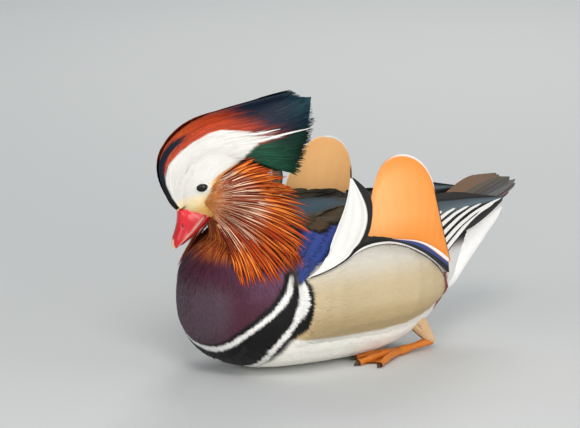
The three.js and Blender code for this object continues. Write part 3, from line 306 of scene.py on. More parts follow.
def body_tint(p):
    """The colour of the coat at points of the body."""
    x, z = p[..., 0] + 0.35 * wobble(p, 4, 101), p[..., 2]
    edges = columns(BARS, z)
    # Over the breast's own maroon: a grey on the lower front that is painted sheen, and a violet on the upper
    # rear that is partly the breast's own purple and partly painted highlight.
    breast = paint("maroon", ("violet_and_highlight", 0.85 * ramp(55, 84, z) * ramp(-108, -82, x)),
                   ("breast_grey_sheen", 0.55 * ramp(-98, -112, x) * ramp(84, 62, z)),
                   ("wine", ramp(88, 102, z) * ramp(-70, -100, x)))
    flank = paint("flank", ("flank_top", ramp(66, 92, z)), ("flank_low", 0.7 * ramp(60, 40, z)))
    above = ramp(-1, 1, z - table(FLANK_TOP, x)) * ramp(-70, -60, x)
    under = ramp(1, -1.5, z - table(FLANK_FOOT, x)) * ramp(-68, -60, x - 0.4 * (z - 30))
    vent = blend("white", "rump", ramp(72, 84, z + 0.15 * (x - 110)))
    strip = ramp(84, 88, x) * ramp(104, 98, x) * ramp(70, 62, z) * ramp(26, 36, z)
    return paint(breast, ("black", ramp(-1.5, 1.2, x - edges[0]) * ramp(88, 84, z)),
                 ("white", white_bar(x, z, edges[1], edges[2])),
                 ("white", white_bar(x, z, edges[3], edges[4])),
                 (flank, ramp(-0.9, 0.9, x - edges[5])), (back_tint(p), above),
                 ("hindneck", ramp(84, 92, z) * ramp(-52, -62, x) * ramp(-2, 4, x + 96)), ("belly", under),
                 (vent, ramp(90, 93, x)), ("rufous", strip))


def flank_tint(p):
    """The flank's colour, with how strongly it is barred as a fourth value."""
    x, z = p[..., 0], p[..., 2]
    low = ramp(66, 40, z + 0.12 * (x + 50))
    front = ramp(20, -40, x) * ramp(88, 70, z)
    top = ramp(9, 1, table(FLANK_TOP, x) - z) * ramp(-20, 30, x)
    strength = np.clip(0.1 + 0.3 * low + 0.2 * front + 0.5 * top, 0, 1) * ramp(0, 2, x - columns(BARS, z)[5])
    return np.concatenate([body_tint(p), strength[..., None]], -1)


def neck_share(p):
    """0 on the body, 1 on the neck and head."""
    x, z = p[..., 0], p[..., 2]
    return ramp(106, 120, z - 0.35 * (x + 80)) * ramp(-30, -40, x)


def skin_tint(p):
    f, _, h = from_head(p)
    x, z = p[..., 0], p[..., 2]
    neck = blend("ruff_edge", "chestnut", ramp(-60, -100, x))
    neck = blend(neck, "green_black", ramp(-84, -66, x) * ramp(120, 132, z))
    on_face = ramp(-13, -8, h) * ramp(-66, -60, f)
    return paint(body_tint(p), (neck, neck_share(p)), (head_tint(p), on_face * ramp(112, 118, z)))


# Meshes

def linked(name, data):
    """A new object of the scene."""
    obj = bpy.data.objects.new(name, data)
    bpy.context.scene.collection.objects.link(obj)
    return obj


def new_mesh(name, verts, quads, tint, lie=None, uv=None):
    """An object from arrays of millimetres and quads, with its colours on its points."""
    mesh = bpy.data.meshes.new(name)
    mesh.vertices.add(len(verts))
    mesh.vertices.foreach_set("co", (np.asarray(verts, np.float32) * MM).ravel())
    mesh.loops.add(quads.size)
    mesh.loops.foreach_set("vertex_index", quads.astype(np.int32).ravel())
    mesh.polygons.add(len(quads))
    mesh.polygons.foreach_set("loop_start", np.arange(0, quads.size, quads.shape[1], dtype=np.int32))
    mesh.polygons.foreach_set("use_smooth", np.ones(len(quads), bool))
    mesh.update(calc_edges=True)
    colours = mesh.color_attributes.new("tint", "FLOAT_COLOR", "POINT")
    full = np.ones((len(verts), 4), np.float32)
    full[:, :tint.shape[1]] = tint
    colours.data.foreach_set("color", full.ravel())
    if lie is not None:
        layer = mesh.attributes.new("lie", "FLOAT_VECTOR", "POINT")
        layer.data.foreach_set("vector", np.asarray(lie, np.float32).ravel())
    if uv is not None:
        layer = mesh.uv_layers.new(name="OFBake")
        layer.data.foreach_set("uv", np.asarray(uv, np.float32)[quads.ravel()].ravel())
    mesh.validate(clean_customdata=False)
    return linked(name, mesh)


def finish_piece(obj, material, nodes):
    obj.data.materials.clear()
    obj.data.materials.append(material)
    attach(obj, "root")
    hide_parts(*nodes)


def quads_of(index):
    """The quads between neighbours in the last two axes of a grid of point numbers."""
    corners = [index[..., :-1, :-1], index[..., :-1, 1:], index[..., 1:, 1:], index[..., 1:, :-1]]
    return np.stack(corners, -1).reshape(-1, 4)


def grid_quads(rows, cols, closed=False, flipped=False):
    """The quads of one grid of points; closed joins its last column to its first."""
    index = np.arange(rows * cols).reshape(rows, cols)
    if closed:
        index = np.concatenate([index, index[:, :1]], 1)
    quads = quads_of(index)
    return quads[:, ::-1] if flipped else quads


TUFT = 0.003  # the width of one feather's patch on the unwrap
SHADES = 97  # how many slightly different shades the feathers of a coat share


class Coat:
    """Gathers many thin vanes and makes them into one piece."""

    def __init__(self):
        self.parts, self.count = [], 0

    def take(self, verts, quads, tint, lie, uv):
        """A surface of points; its quads count from its own first point."""
        self.parts.append([verts.reshape(-1, 3), quads + self.count, tint.reshape(-1, tint.shape[-1]),
                           lie.reshape(-1, 3), np.clip(uv.reshape(-1, 2), 0, 1)])
        self.count += len(self.parts[-1][0])

    def add(self, spine, out, half, tint, root_uv, cols=3, cup=0.15):
        """spine and out are (n, m, 3); half is (n, m); tint gives colours at points, or is one colour."""
        n, m, _ = spine.shape
        ahead = unit(np.gradient(spine, axis=1))
        across = unit(np.cross(ahead, out))
        up = np.cross(across, ahead)
        t = np.linspace(-1, 1, cols)
        wide, aside = half[:, :, None, None], t[None, None, :, None]
        verts = spine[:, :, None] + across[:, :, None] * (wide * aside)
        verts = verts - up[:, :, None] * (cup * wide) * aside ** 2
        shape = (n, m, cols)
        s = np.broadcast_to(np.linspace(0, 1, m)[None, :, None], shape)
        side = np.broadcast_to(t, shape)
        own = np.broadcast_to(np.arange(n)[:, None, None] % SHADES / SHADES, shape)
        colours = tint(verts, s, side) if callable(tint) else np.broadcast_to(TINT[tint], (*shape, 3))
        length = np.linalg.norm(np.diff(spine, axis=1), axis=2).sum(1)
        lie = np.stack([s * length[:, None, None], side * half[:, :, None], own], -1)
        uv = root_uv[:, None, None] + TUFT * np.stack([s - 0.5, side * 0.5], -1)
        self.take(verts, quads_of(np.arange(n * m * cols).reshape(shape)), colours, lie, uv)

    def piece(self, name, material, nodes, slot):
        obj = new_mesh(name, *(np.concatenate(arrays) for arrays in zip(*self.parts)))
        finish_piece(obj, material, nodes)


# The skin: one closed surface a coat's depth inside the solids of flesh

FLESH = ["torso", "breast", "rump", "neck", "head", "flank_left", "flank_right", "wing_left", "wing_right"]
VOXEL = 1.7
SMOOTHING = 14
COAT_DEPTH = 1.6


def arrays_of(mesh):
    """A mesh's points in millimetres, and its triangles."""
    mesh.calc_loop_triangles()
    points = np.empty(len(mesh.vertices) * 3, np.float32)
    mesh.vertices.foreach_get("co", points)
    triangles = np.empty(len(mesh.loop_triangles) * 3, np.int32)
    mesh.loop_triangles.foreach_get("vertices", triangles)
    return points.reshape(-1, 3).astype(float) / MM, triangles.reshape(-1, 3)


def node_arrays(names):
    """The points and triangles of several solids of the frame."""
    verts, faces, count = [], [], 0
    for name in names:
        points, triangles = arrays_of(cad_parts[name].data)
        verts.append(points)
        faces.append(triangles + count)
        count += len(points)
    return np.concatenate(verts), np.concatenate(faces)


def point_normals(verts, triangles):
    a, b, c = (verts[triangles[:, k]] for k in range(3))
    face = np.cross(b - a, c - a)
    normals = np.zeros_like(verts)
    for k in range(3):
        np.add.at(normals, triangles[:, k], face)
    return unit(normals)


def remeshed(names):
    """A smooth closed surface round these nodes, moved in by the depth of the coat."""
    verts, faces = node_arrays(names)
    raw = bpy.data.meshes.new("raw")
    raw.from_pydata((verts * MM).tolist(), [], faces.tolist())
    obj = linked("raw", raw)
    remesh = obj.modifiers.new("remesh", "REMESH")
    remesh.mode = "VOXEL"
    remesh.voxel_size = VOXEL * MM
    even = obj.modifiers.new("even", "SMOOTH")
    even.factor = 0.5
    even.iterations = SMOOTHING
    points, triangles = arrays_of(obj.evaluated_get(bpy.context.evaluated_depsgraph_get()).to_mesh())
    bpy.data.objects.remove(obj)
    return points - point_normals(points, triangles) * COAT_DEPTH, triangles


def tree_of(verts, triangles):
    """The triangles, made quick to search."""
    return BVHTree.FromPolygons(verts.tolist(), triangles.tolist())


CROWD = 6  # points tried for each one kept
CELL_KEYS = np.array([73856093, 19349663, 83492791])  # large primes, so that few cells share a number


class Surface:
    """A triangle mesh that can be sampled and searched, in millimetres."""

    def __init__(self, verts, triangles):
        self.verts, self.triangles = verts, triangles
        self.normals = point_normals(verts, triangles)
        self.tree = tree_of(verts, triangles)

    def scatter(self, spacing, keep, seed):
        """Points about that far apart where keep(points) is true, with their normals."""
        rng = np.random.default_rng(seed)
        tri = self.triangles[keep(self.verts[self.triangles].mean(1))]
        a, b, c = (self.verts[tri[:, k]] for k in range(3))
        area = np.linalg.norm(np.cross(b - a, c - a), axis=1) / 2
        count = int(CROWD * area.sum() / spacing ** 2)
        pick = tri[rng.choice(len(tri), count, p=area / area.sum())]
        u, v = rng.random(count), rng.random(count)
        flip = u + v > 1
        u[flip], v[flip] = 1 - u[flip], 1 - v[flip]
        w = np.stack([1 - u - v, u, v], 1)[:, :, None]
        points = (self.verts[pick] * w).sum(1)
        normals = unit((self.normals[pick] * w).sum(1))
        # one point is kept in each cell of a grid of cubes
        cell = np.floor(points / (spacing * 0.9)).astype(np.int64)
        _, first = np.unique(np.bitwise_xor.reduce(cell * CELL_KEYS, axis=1), return_index=True)
        return points[first], normals[first]

    def nearest(self, points):
        """The surface's points nearest to these, with their normals."""
        found = np.empty_like(points)
        normals = np.empty_like(points)
        for i, p in enumerate(points):
            found[i], _, index, _ = self.tree.find_nearest(Vector(p))
            normals[i] = self.normals[self.triangles[index]].mean(0)
        return found, unit(normals)


REACH_STEP = 1.6
REACH_FAR = 90


class Reach:
    """How far aside a set of surfaces reaches over a plane, as a smooth grid that is quick to read."""

    def __init__(self, tree, place, side, low, high, smooth):
        self.low = np.array(low, float)
        counts = np.ceil((np.array(high) - self.low) / REACH_STEP).astype(int) + 1
        self.grid = np.zeros(counts)
        inward = Vector(place(0, 0, 0) - place(0, side, 0))
        for i, j in np.ndindex(*counts):
            a, b = self.low + REACH_STEP * np.array([i, j])
            hit = tree.ray_cast(Vector(place(a, side * REACH_FAR, b)), inward, REACH_FAR)
            if hit[0] is not None:
                self.grid[i, j] = REACH_FAR - hit[3]
        for _ in range(smooth):
            wider = np.pad(self.grid, 1, mode="edge")
            beside = wider[:-2, 1:-1] + wider[2:, 1:-1] + wider[1:-1, :-2] + wider[1:-1, 2:]
            self.grid = 0.5 * self.grid + 0.125 * beside

    def at(self, a, b):
        top = np.array(self.grid.shape) - 1.001
        i = np.clip((a - self.low[0]) / REACH_STEP, 0, top[0])
        j = np.clip((b - self.low[1]) / REACH_STEP, 0, top[1])
        return read_grid(self.grid, i, j)

    def slope(self, a, b):
        step = REACH_STEP
        return ((self.at(a + step, b) - self.at(a - step, b)) / (2 * step),
                (self.at(a, b + step) - self.at(a, b - step)) / (2 * step))


def reaches(tree, place, low, high, smooth):
    """The reach on each side of a plane, whose points place gives."""
    return {side: Reach(tree, place, side, low, high, smooth) for side in SIDES}


# Where a point lies on an unwrap of the skin: along it, and by the angle round it

def unwrapped(along, aside, up):
    angle = np.arctan2(aside, up) / (2 * math.pi) + 0.5
    return np.clip(np.stack([along, angle], -1), 0.01, 0.99)


def body_uv(p):
    return unwrapped((p[..., 0] + 140) / 350, p[..., 1], p[..., 2] - 60)


def head_uv(p):
    f, y, h = from_head(p)
    return unwrapped((f + 125) / 150, y, h - 8)


# Materials

# The fine dark lines of the flank, and their slope in degrees
VERMICULE = {"Scale": 300, "Distortion": 4, "Detail": 1.5, "Detail Scale": 0.35}
VERMICULE_SLOPE = 14


class Finish:
    """A material in the making, with short ways to add, set and join its nodes."""

    def __init__(self, name, settings):
        self.material = bpy.data.materials.new(name)
        self.material.use_nodes = True
        self.shader = self.material.node_tree.nodes["Principled BSDF"]
        self.put(self.shader, settings)

    def put(self, node, inputs):
        """Sets the node's inputs to values, or joins them to outputs of other nodes."""
        for key, value in inputs.items():
            if isinstance(value, bpy.types.NodeSocket):
                self.material.node_tree.links.new(value, node.inputs[key])
            else:
                node.inputs[key].default_value = value
        return node

    def add(self, kind):
        return self.material.node_tree.nodes.new("ShaderNode" + kind)

    def math(self, operation, *values):
        node = self.add("Math")
        node.operation = operation
        return self.put(node, dict(enumerate(values))).outputs[0]

    def attribute(self, name):
        node = self.add("Attribute")
        node.attribute_name = name
        return node.outputs

    def place(self):
        return self.add("TexCoord").outputs["Object"]

    def tint(self, share):
        """The colour of the points, times a share."""
        node = self.add("VectorMath")
        node.operation = "SCALE"
        return self.put(node, {0: self.attribute("tint")["Color"], "Scale": share}).outputs[0]

    def bump(self, height, strength, distance):
        node = self.put(self.add("Bump"), {"Strength": strength, "Distance": distance, "Height": height})
        self.put(self.shader, {"Normal": node.outputs[0]})


def coat_material(name, roughness=0.6, sheen=0.03, barbs=2.2, depth=0.25, coat=0.0, speck=0.12, streak=0.03,
                  gloss=0.35, barred=False):
    """Feather: colours from its points, with fine barbs that slant from the shaft and a shade of its own."""
    made = Finish(name, {"Roughness": roughness, "Sheen Weight": sheen, "Sheen Roughness": 0.45,
                         "Coat Weight": coat, "Coat Roughness": 0.3, "Specular IOR Level": gloss})
    along, across, own = made.put(made.add("SeparateXYZ"), {0: made.attribute("lie")["Vector"]}).outputs
    slant = made.math("SUBTRACT", along, made.math("MULTIPLY", made.math("ABSOLUTE", across), 1.3))
    wave = made.math("SINE", made.math("MULTIPLY", slant, barbs * math.pi))
    noise = made.add("TexWhiteNoise")
    noise.noise_dimensions = "1D"
    made.put(noise, {"W": own})
    shade = made.math("MULTIPLY_ADD", noise.outputs["Value"], speck, 1 - speck / 2)
    fine = made.math("MULTIPLY_ADD", wave, streak, 1.0)
    colour = made.tint(made.math("MULTIPLY", shade, fine))
    if barred:
        colour = vermiculated(made, colour)
    made.put(made.shader, {"Base Color": colour})
    made.bump(wave, depth, 0.0002)
    return made.material


def vermiculated(made, colour):
    """The colour crossed by very fine wavy dark lines, as strong as the points' fourth value."""
    turned = made.add("VectorRotate")
    turned.rotation_type = "Y_AXIS"
    made.put(turned, {"Angle": math.radians(VERMICULE_SLOPE), "Vector": made.place()})
    lines = made.add("TexWave")
    lines.bands_direction = "Z"
    made.put(lines, {**VERMICULE, "Vector": turned.outputs["Vector"]})
    dark = made.math("POWER", lines.outputs["Fac"], 1.6)
    share = made.math("MULTIPLY", dark, made.attribute("tint")["Alpha"])
    mix = made.put(made.add("MixRGB"), {"Fac": share, "Color1": colour, "Color2": (*TINT["vermicule"], 1)})
    return mix.outputs["Color"]


def skin_material():
    """Short down under the feathers."""
    made = Finish("under_coat", {"Roughness": 0.85, "Sheen Weight": 0.03})
    noise = made.put(made.add("TexNoise"), {"Scale": 900, "Detail": 4, "Vector": made.place()})
    down = noise.outputs["Fac"]
    made.put(made.shader, {"Base Color": made.tint(made.math("MULTIPLY_ADD", down, 0.4, 0.7))})
    made.bump(down, 0.5, 0.0004)
    return made.material


skin_points, skin_triangles = remeshed(FLESH + ["eye_left", "eye_right"])
skin = Surface(skin_points, skin_triangles)
finish_piece(new_mesh("skin", skin_points, skin_triangles, skin_tint(skin_points)), skin_material(), FLESH)


# Small feathers laid over the skin

def lie_on_body(p, normal):
    """The lie of the coat: down the breast, then back along the body."""
    x, z = p[:, 0], p[:, 2]
    front = ramp(-72, -112, x)
    rear = ramp(60, 140, x)
    way = np.stack([1 - 0.75 * front, 0.12 * np.sign(p[:, 1]) * front, -0.12 - 0.9 * front + 0.35 * rear], 1)
    neck = ramp(100, 122, z - 0.4 * (x + 80)) * ramp(-40, -56, x)
    return across_normal(blend(way, np.array([0.55, 0, -0.9]), neck), normal)


def lie_on_head(p, normal):
    """Back from the bill, down on the cheek and up over the brow."""
    f, _, h = from_head(p)
    way = blend(head_way(-1, 0, 0), head_way(-0.6, 0, -0.55), ramp(12, -4, h))
    way = blend(way, head_way(-0.75, 0, 0.6), 0.8 * ramp(-22, 4, f) * ramp(14, 26, h))
    return across_normal(way, normal)


SHORT_OUTLINE = np.array([0.5, 1.0, 0.9, 0.2])
VANE_OUTLINE = np.array([0.35, 0.9, 1.0, 0.72, 0.12])
BROAD_OUTLINE = np.array([0.5, 0.95, 1.0, 0.92, 0.7, 0.2])
LONG_OUTLINE = np.array([0.4, 0.75, 0.95, 1.0, 1.0, 1.0, 0.97, 0.88, 0.68, 0.12])
STRAND_OUTLINE = np.array([0.5, 0.9, 1.0, 1.0, 0.95, 0.9, 0.8, 0.7, 0.55, 0.4, 0.2, 0.03])


def lay(coat, roots, normals, way, length, width, lift, tint, uv, seed, outline=VANE_OUTLINE, cols=3,
        cup=0.15, rise=0.1, droop=0.12, fray=0.25):
    """Feathers from roots on the skin, lying along way; rise and droop are shares of the length."""
    rng = np.random.default_rng(seed)
    n = len(roots)
    length = length * (1 + fray * (rng.random(n) - 0.5))
    width = width * (1 + fray * (rng.random(n) - 0.5))
    turn = rng.normal(0, 0.09, n)
    way = unit(way + np.cross(normals, way) * turn[:, None])
    s = np.linspace(0, 1, len(outline))[None, :, None]
    lifts = lift + rng.random(n)[:, None, None] * 0.35
    spine = roots[:, None, :] + way[:, None, :] * length[:, None, None] * s
    height = lifts * np.minimum(1, s * 2 + 0.2) + length[:, None, None] * (rise * s - droop * s * s)
    spine = spine + normals[:, None, :] * height
    out = np.broadcast_to(normals[:, None, :], spine.shape)
    coat.add(spine, out, width[:, None] / 2 * outline, tint, uv, cols, cup)


def sow(coat, spot, length, width, lift, tint, seed, **style):
    """Feathers laid all over a spot of the skin, which is a spacing, a test of points and a seed."""
    roots, normals = skin.scatter(*spot)
    way = lie_on_body(roots, normals)
    lay(coat, roots, normals, way, length, width, lift, tint, body_uv(roots), seed, **style)


def along_skin(roots, way_of, length, steps):
    """Paths over the skin that follow the lie of the coat, and the way out at each of their points."""
    paths, outs = [], []
    place = roots
    for _ in range(steps):
        place, normal = skin.nearest(place)
        paths.append(place)
        outs.append(normal)
        place = place + way_of(place, normal) * (length / (steps - 1))[:, None]
    return np.stack(paths, 1), np.stack(outs, 1)


def lay_along(coat, roots, way_of, length, width, lift, tint, seed, outline, cols, cup):
    """Long feathers that keep to the skin all along."""
    rng = np.random.default_rng(seed)
    count = len(roots)
    path, out = along_skin(roots, way_of, length * rng.uniform(0.75, 1.2, count), len(outline))
    s = np.linspace(0, 1, len(outline))[None, :, None]
    height = rng.uniform(*lift, (count, 1, 1)) * np.minimum(1, 0.1 + 4 * s)
    half = width / 2 * rng.uniform(0.75, 1.25, (count, 1)) * outline
    coat.add(path + out * height, out, half, tint, body_uv(roots), cols, cup)


def coloured(tint_of, spread, seed, rim=0.0, shaft=0.0):
    """Colours by place, read a little off each feather's own; rim and shaft lighten or darken its parts."""
    rng = np.random.default_rng(seed)

    def tint(verts, s, side):
        colour = tint_of(verts + rng.normal(0, spread, (len(verts), 1, 1, 3)))
        edge = np.maximum(ramp(0.7, 1.0, s), ramp(0.6, 1.0, np.abs(side)))[..., None]
        middle = ramp(0.45, 0.0, np.abs(side))[..., None]
        scale = (1 + rim * edge) * (1 + shaft * middle)
        return np.clip(np.concatenate([colour[..., :3] * scale, colour[..., 3:]], -1), 0, 1)
    return tint


CRESCENT_FRONT = [(80.5, -57), (85.7, -44.5), (92.4, -38), (100, -32.5), (106, -31), (114.5, -24.5)]
FACE_LENGTH = 4.6


def body_part(low_x, high_x, part):
    """True for points of the body's skin between those x, on the breast, flank, back or belly."""
    def keep(p):
        x, side, z = p[:, 0], np.abs(p[:, 1]), p[:, 2]
        use = (x > low_x) & (x < high_x) & (neck_share(p) < 0.7)
        top, foot = table(FLANK_TOP, x), table(FLANK_FOOT, x)
        if part == "back":
            use &= (z > top - 2) & ~((x > -62) & (x < 92) & (z < top + 7))
            use &= ~((side > 44) & (x > table(CRESCENT_FRONT, z) - 14) & (x < 30) & (z < 114))
        if part == "flank":
            use &= (z < top - 3 * ramp(-60, -50, x)) & (z > foot - 3)
        if part == "belly":
            use &= z < foot
        return use
    return keep


def body_coat():
    breast = Coat()
    sow(breast, (1.9, body_part(-130, -48, "breast"), 1), 6.5, 2.4, 0.25,
        coloured(body_tint, 0.1, 2, -0.06, 0.04), 3, rise=0.05, droop=0.07)
    breast.piece("breast_coat", coat_material("breast_feather", depth=0.06, gloss=0.2), ["breast"],
                 "breast_feather")
    flank = Coat()
    sow(flank, (2.5, body_part(-58, 96, "flank"), 4), 10, 4.2, 0.3, coloured(flank_tint, 0.25, 5), 6,
        rise=0.02, droop=0.03)
    barred = coat_material("flank_feather", roughness=0.62, depth=0.08, speck=0.05, barred=True)
    flank.piece("flank_coat", barred, ["flank_left", "flank_right"], "flank_feather")
    back = Coat()
    roots, _ = skin.scatter(5.0, body_part(-60, 4, "back"), 16)
    lay_along(back, roots, lie_on_body, 24, 7.5, (0.15, 0.5), coloured(body_tint, 0.0, 17, shaft=-0.03), 18,
              LONG_OUTLINE, 5, 0.12)
    sow(back, (5.2, body_part(2, 160, "back"), 7), 19, 10, 0.15, coloured(body_tint, 0.1, 8, -0.03, -0.03), 9,
        outline=BROAD_OUTLINE, cols=5, cup=0.04, rise=0.0, droop=0.01, fray=0.12)
    back.piece("back_coat", coat_material("back_feather", roughness=0.75, depth=0.05, speck=0.04, gloss=0.15),
               ["torso", "rump", "wing_left", "wing_right"], "back_feather")
    belly = Coat()
    sow(belly, (3.4, body_part(-110, 100, "belly"), 10), 11, 5, 0.2, coloured(body_tint, 0.4, 11), 12,
        rise=0.02)
    sow(belly, (3.4, body_part(92, 160, "flank"), 13), 12, 5, 0.4, coloured(body_tint, 0.5, 14), 15)
    belly.piece("belly_coat", coat_material("belly_feather", depth=0.1), ["torso"], "flank_feather")


def clear_of_eye(roots, way, length):
    """True for feathers that stay off the open eye from root to tip."""
    path = roots[:, None] + way[:, None] * length * np.linspace(0, 1, 4)[None, :, None]
    f, _, h = from_head(path)
    return eye_distance(f, h).min(1) > 1.22


def neck_tint(seed):
    """Some feathers dark, some orange brown, so that the neck is streaked."""
    rng = np.random.default_rng(seed)

    def tint(verts, s, side):
        pick = rng.random((len(verts), 1, 1)) ** 1.5
        warm = blend("ruff_edge", "ruff_streak", pick * ramp(0.9, 0.1, np.abs(side)))
        f, _, h = from_head(verts)
        green = ramp(-44, -56, f) * ramp(-34, -20, h)
        return blend(warm, "green_black", green)
    return tint


def on_face(p):
    f, _, h = from_head(p)
    return (h > -12) & (h < 52) & (f > -66) & (p[:, 2] > 110)


def on_neck(p):
    return (neck_share(p) > 0.3) & (from_head(p)[2] < -4)


def head_coat():
    face = Coat()
    roots, normals = skin.scatter(0.95, on_face, 20)
    way = lie_on_head(roots, normals)
    clear = clear_of_eye(roots, way, FACE_LENGTH)
    roots = roots[clear]
    lay(face, roots, normals[clear], way[clear], FACE_LENGTH, 0.8, 0.1, coloured(head_tint, 0.08, 21),
        head_uv(roots), 22, outline=SHORT_OUTLINE, rise=0.03, droop=0.05)
    face.piece("face_coat", coat_material("face_feather", roughness=0.7, streak=0.0, depth=0.0, speck=0.05),
               ["head"], "face_feather")
    neck = Coat()
    sow(neck, (2.0, on_neck, 23), 14, 2.0, 0.4, neck_tint(24), 25)
    neck.piece("neck_coat", coat_material("neck_feather", roughness=0.5), ["neck"], "neck_feather")


def down_throat(p, normal):
    """Down and a little outwards over the front of the neck."""
    return across_normal(point(-0.3, 0.02 * p[:, 1], -1.0), normal)


def throat_tint(seed):
    """Strands that are orange brown or dark, and fade into the breast at their ends."""
    rng = np.random.default_rng(seed)

    def tint(verts, s, side):
        n = len(verts)
        bright = ramp(0.1, 1.0, rng.random((n, 1, 1))) * ramp(1.0, 0.3, np.abs(side))
        colour = blend(blend("ruff_edge", "ruff", 0.45), "ruff_streak", bright)
        fade = np.maximum(ramp(0.55, 1.0, s) * 0.8, ramp(98, 86, verts[..., 2]))
        return blend(colour, body_tint(verts), fade)
    return tint


def throat():
    coat = Coat()
    roots, _ = skin.scatter(1.7, on_throat, 26)
    lay_along(coat, roots, down_throat, 25, 1.5, (0.4, 1.5), throat_tint(27), 28, STRAND_OUTLINE, 3, 0.25)
    coat.piece("throat_coat", coat_material("throat_feather", gloss=0.15, speck=0.2), ["neck", "breast"],
               "neck_feather")


def on_throat(p):
    f, _, h = from_head(p)
    return (p[:, 0] < -56) & (p[:, 2] > 90) & (p[:, 2] < 128) & (h < -4) & (f > -44)


body_coat()
head_coat()
throat()


# The crest: a smooth core and long silky hairs combed over it

CREST = [  # f, top, bottom, half width
    (12.2, 20, 13.5, 4.2), (9.3, 30, 12.5, 6.6), (5.5, 40, 16, 9), (1, 47.5, 20, 10.8), (-10, 56.4, 26, 13.2),
    (-25, 59.5, 27, 14.8), (-40, 58, 17, 15.8), (-52, 53, -8, 16.4), (-63, 45.5, -26, 16), (-74, 38, -29, 14),
    (-85, 30, -26, 11.5), (-96, 23.5, -20, 9), (-107, 15.5, -13, 6.4), (-116, 4.5, -6.5, 3.4),
    (-120, -1.5, -2.5, 0.4),
]
CREST_ENDS = (11.5, -119.5)
CREST_SINK = 1.8
CREST_BLEND = 3.5
ROOT_SINK = 1.2  # how deep a hair starts under the surface

# Lines in f and h that the hairs follow, from the top of the crown down to the green underside
COMB = [
    [(12.5, 17), (9.2, 30), (1.5, 47.2), (-10, 56.2), (-25, 59.3), (-40, 57.8), (-52, 53), (-63, 46),
     (-74, 39), (-85, 31.5), (-97, 24), (-108, 16.5), (-116, 11)],
    [(9.8, 14), (7, 29), (2, 40), (-8, 49), (-24, 51.5), (-37, 49), (-50, 43), (-60, 35), (-72, 23),
     (-86, 12), (-100, 4), (-112, -1), (-120, -3)],
    [(8, 14), (3, 24), (-3, 33), (-14, 39), (-28, 39.5), (-40, 35), (-52, 28), (-61, 21), (-70, 12),
     (-80, 3.5), (-90, -4), (-103, -13), (-111, -18)],
    [(4, 14), (-3, 21), (-12, 25), (-24, 26), (-36, 23), (-47, 18), (-56, 13), (-64, 7), (-72, -1),
     (-80, -10), (-88, -18), (-96, -25)],
    [(-22, 18), (-32, 17), (-42, 14), (-50, 10), (-55, 4), (-59, -6), (-63, -18), (-67, -29), (-70, -37)],
]


def oval(top, bottom, width, turn, lift):
    """The y and height of an upright oval's outline, turn degrees round from its top and lifted off it."""
    angle = np.radians(turn)
    return (width + lift) * np.sin(angle), (top + bottom) / 2 + ((top - bottom) / 2 + lift) * np.cos(angle)


def crest_row(f):
    """Top, bottom and half width of the crest at f, its corners rounded."""
    return rounded(CREST, f, (-3.0, -1.5, 0.0, 1.5, 3.0))


face_reach = reaches(skin.tree, on_head, (-70, -30), (16, 56), 2)


def comb_point(side, f, h, lift):
    """A point over the crest or the head's side at f and h, and the way out of the surface there."""
    top, bottom, width = crest_row(f)
    c = np.clip((h - (top + bottom) / 2) / np.maximum((top - bottom) / 2, 0.1), -1, 1)
    s = np.sqrt(1 - c * c)
    crest_y = width * s
    skin_y = np.where(f > -66, face_reach[side].at(f, h), 0)
    slope_f, slope_h = face_reach[side].slope(f, h)
    on_skin = ramp(-4, 4, skin_y - crest_y)
    out_f = -slope_f * on_skin
    out_y = s * (1 - on_skin) + on_skin
    out_h = c * (1 - on_skin) - slope_h * on_skin
    size = np.sqrt(out_f ** 2 + out_y ** 2 + out_h ** 2) + 1e-6
    out_f, out_y, out_h = out_f / size, out_y / size, out_h / size
    y = (crest_y + skin_y + np.sqrt((crest_y - skin_y) ** 2 + CREST_BLEND ** 2)) / 2
    where = on_head(f + lift * out_f, side * (y + lift * out_y), h + lift * out_h)
    return where, on_head(out_f, side * out_y, out_h) - GAPE


COMB_LINES = np.stack([smooth_line(line, np.linspace(0, 1, 60)) for line in COMB])


def combed(v, u):
    """f and h at place v across the comb lines and share u along them."""
    last = COMB_LINES.shape[1] - 1
    return read_grid(COMB_LINES, np.clip(v, 0, len(COMB) - 1.0001), np.clip(u, 0, 1) * last)


def crest_coat_tint(p, jitter=0.0):
    """The crest's colours, with the white brow and the face below it."""
    f, y, h = from_head(p)
    foot, top = table(BROW_FOOT, f), table(BROW_TOP, f)
    face = face_tint(f, h)
    edge = 0.12 * np.abs(jitter)
    brow = blend("face", face, ramp(-22, -16, f))
    white = ramp(-0.9, 0.5, h - foot - edge) * ramp(0.9, -0.5, h - top + edge)
    white = white * ramp(-80, -70, f + 2 * jitter)
    below = ramp(0.8, -0.8, h - foot) * ramp(-46, -42, f)
    return paint(crest_tint(f, y, h, jitter), (brow, white), (face, below))


def crest_core():
    f = np.linspace(*CREST_ENDS, 90)[:, None]
    turn = circle(48, 360)[None, :]
    y, h = oval(*crest_row(f), turn, -CREST_SINK)
    verts = on_head(f, y, h).reshape(-1, 3)
    return new_mesh("crest_core", verts, grid_quads(*h.shape, True), crest_coat_tint(verts))


HAIR_TAPER = np.array([0.6, 0.95, 1, 1, 0.95, 0.8, 0.55, 0.12])
WHITE_LINES = [  # f and h along the line, how many hairs, and how far they spread
    ([(-52, 24), (-60, 17.5), (-68, 11), (-76, 5), (-86, -2), (-96, -9.5), (-104.5, -17)], 26, 1.5),
    ([(-58, 29), (-66, 20), (-75, 12), (-87, 2.6)], 8, 0.9),
]


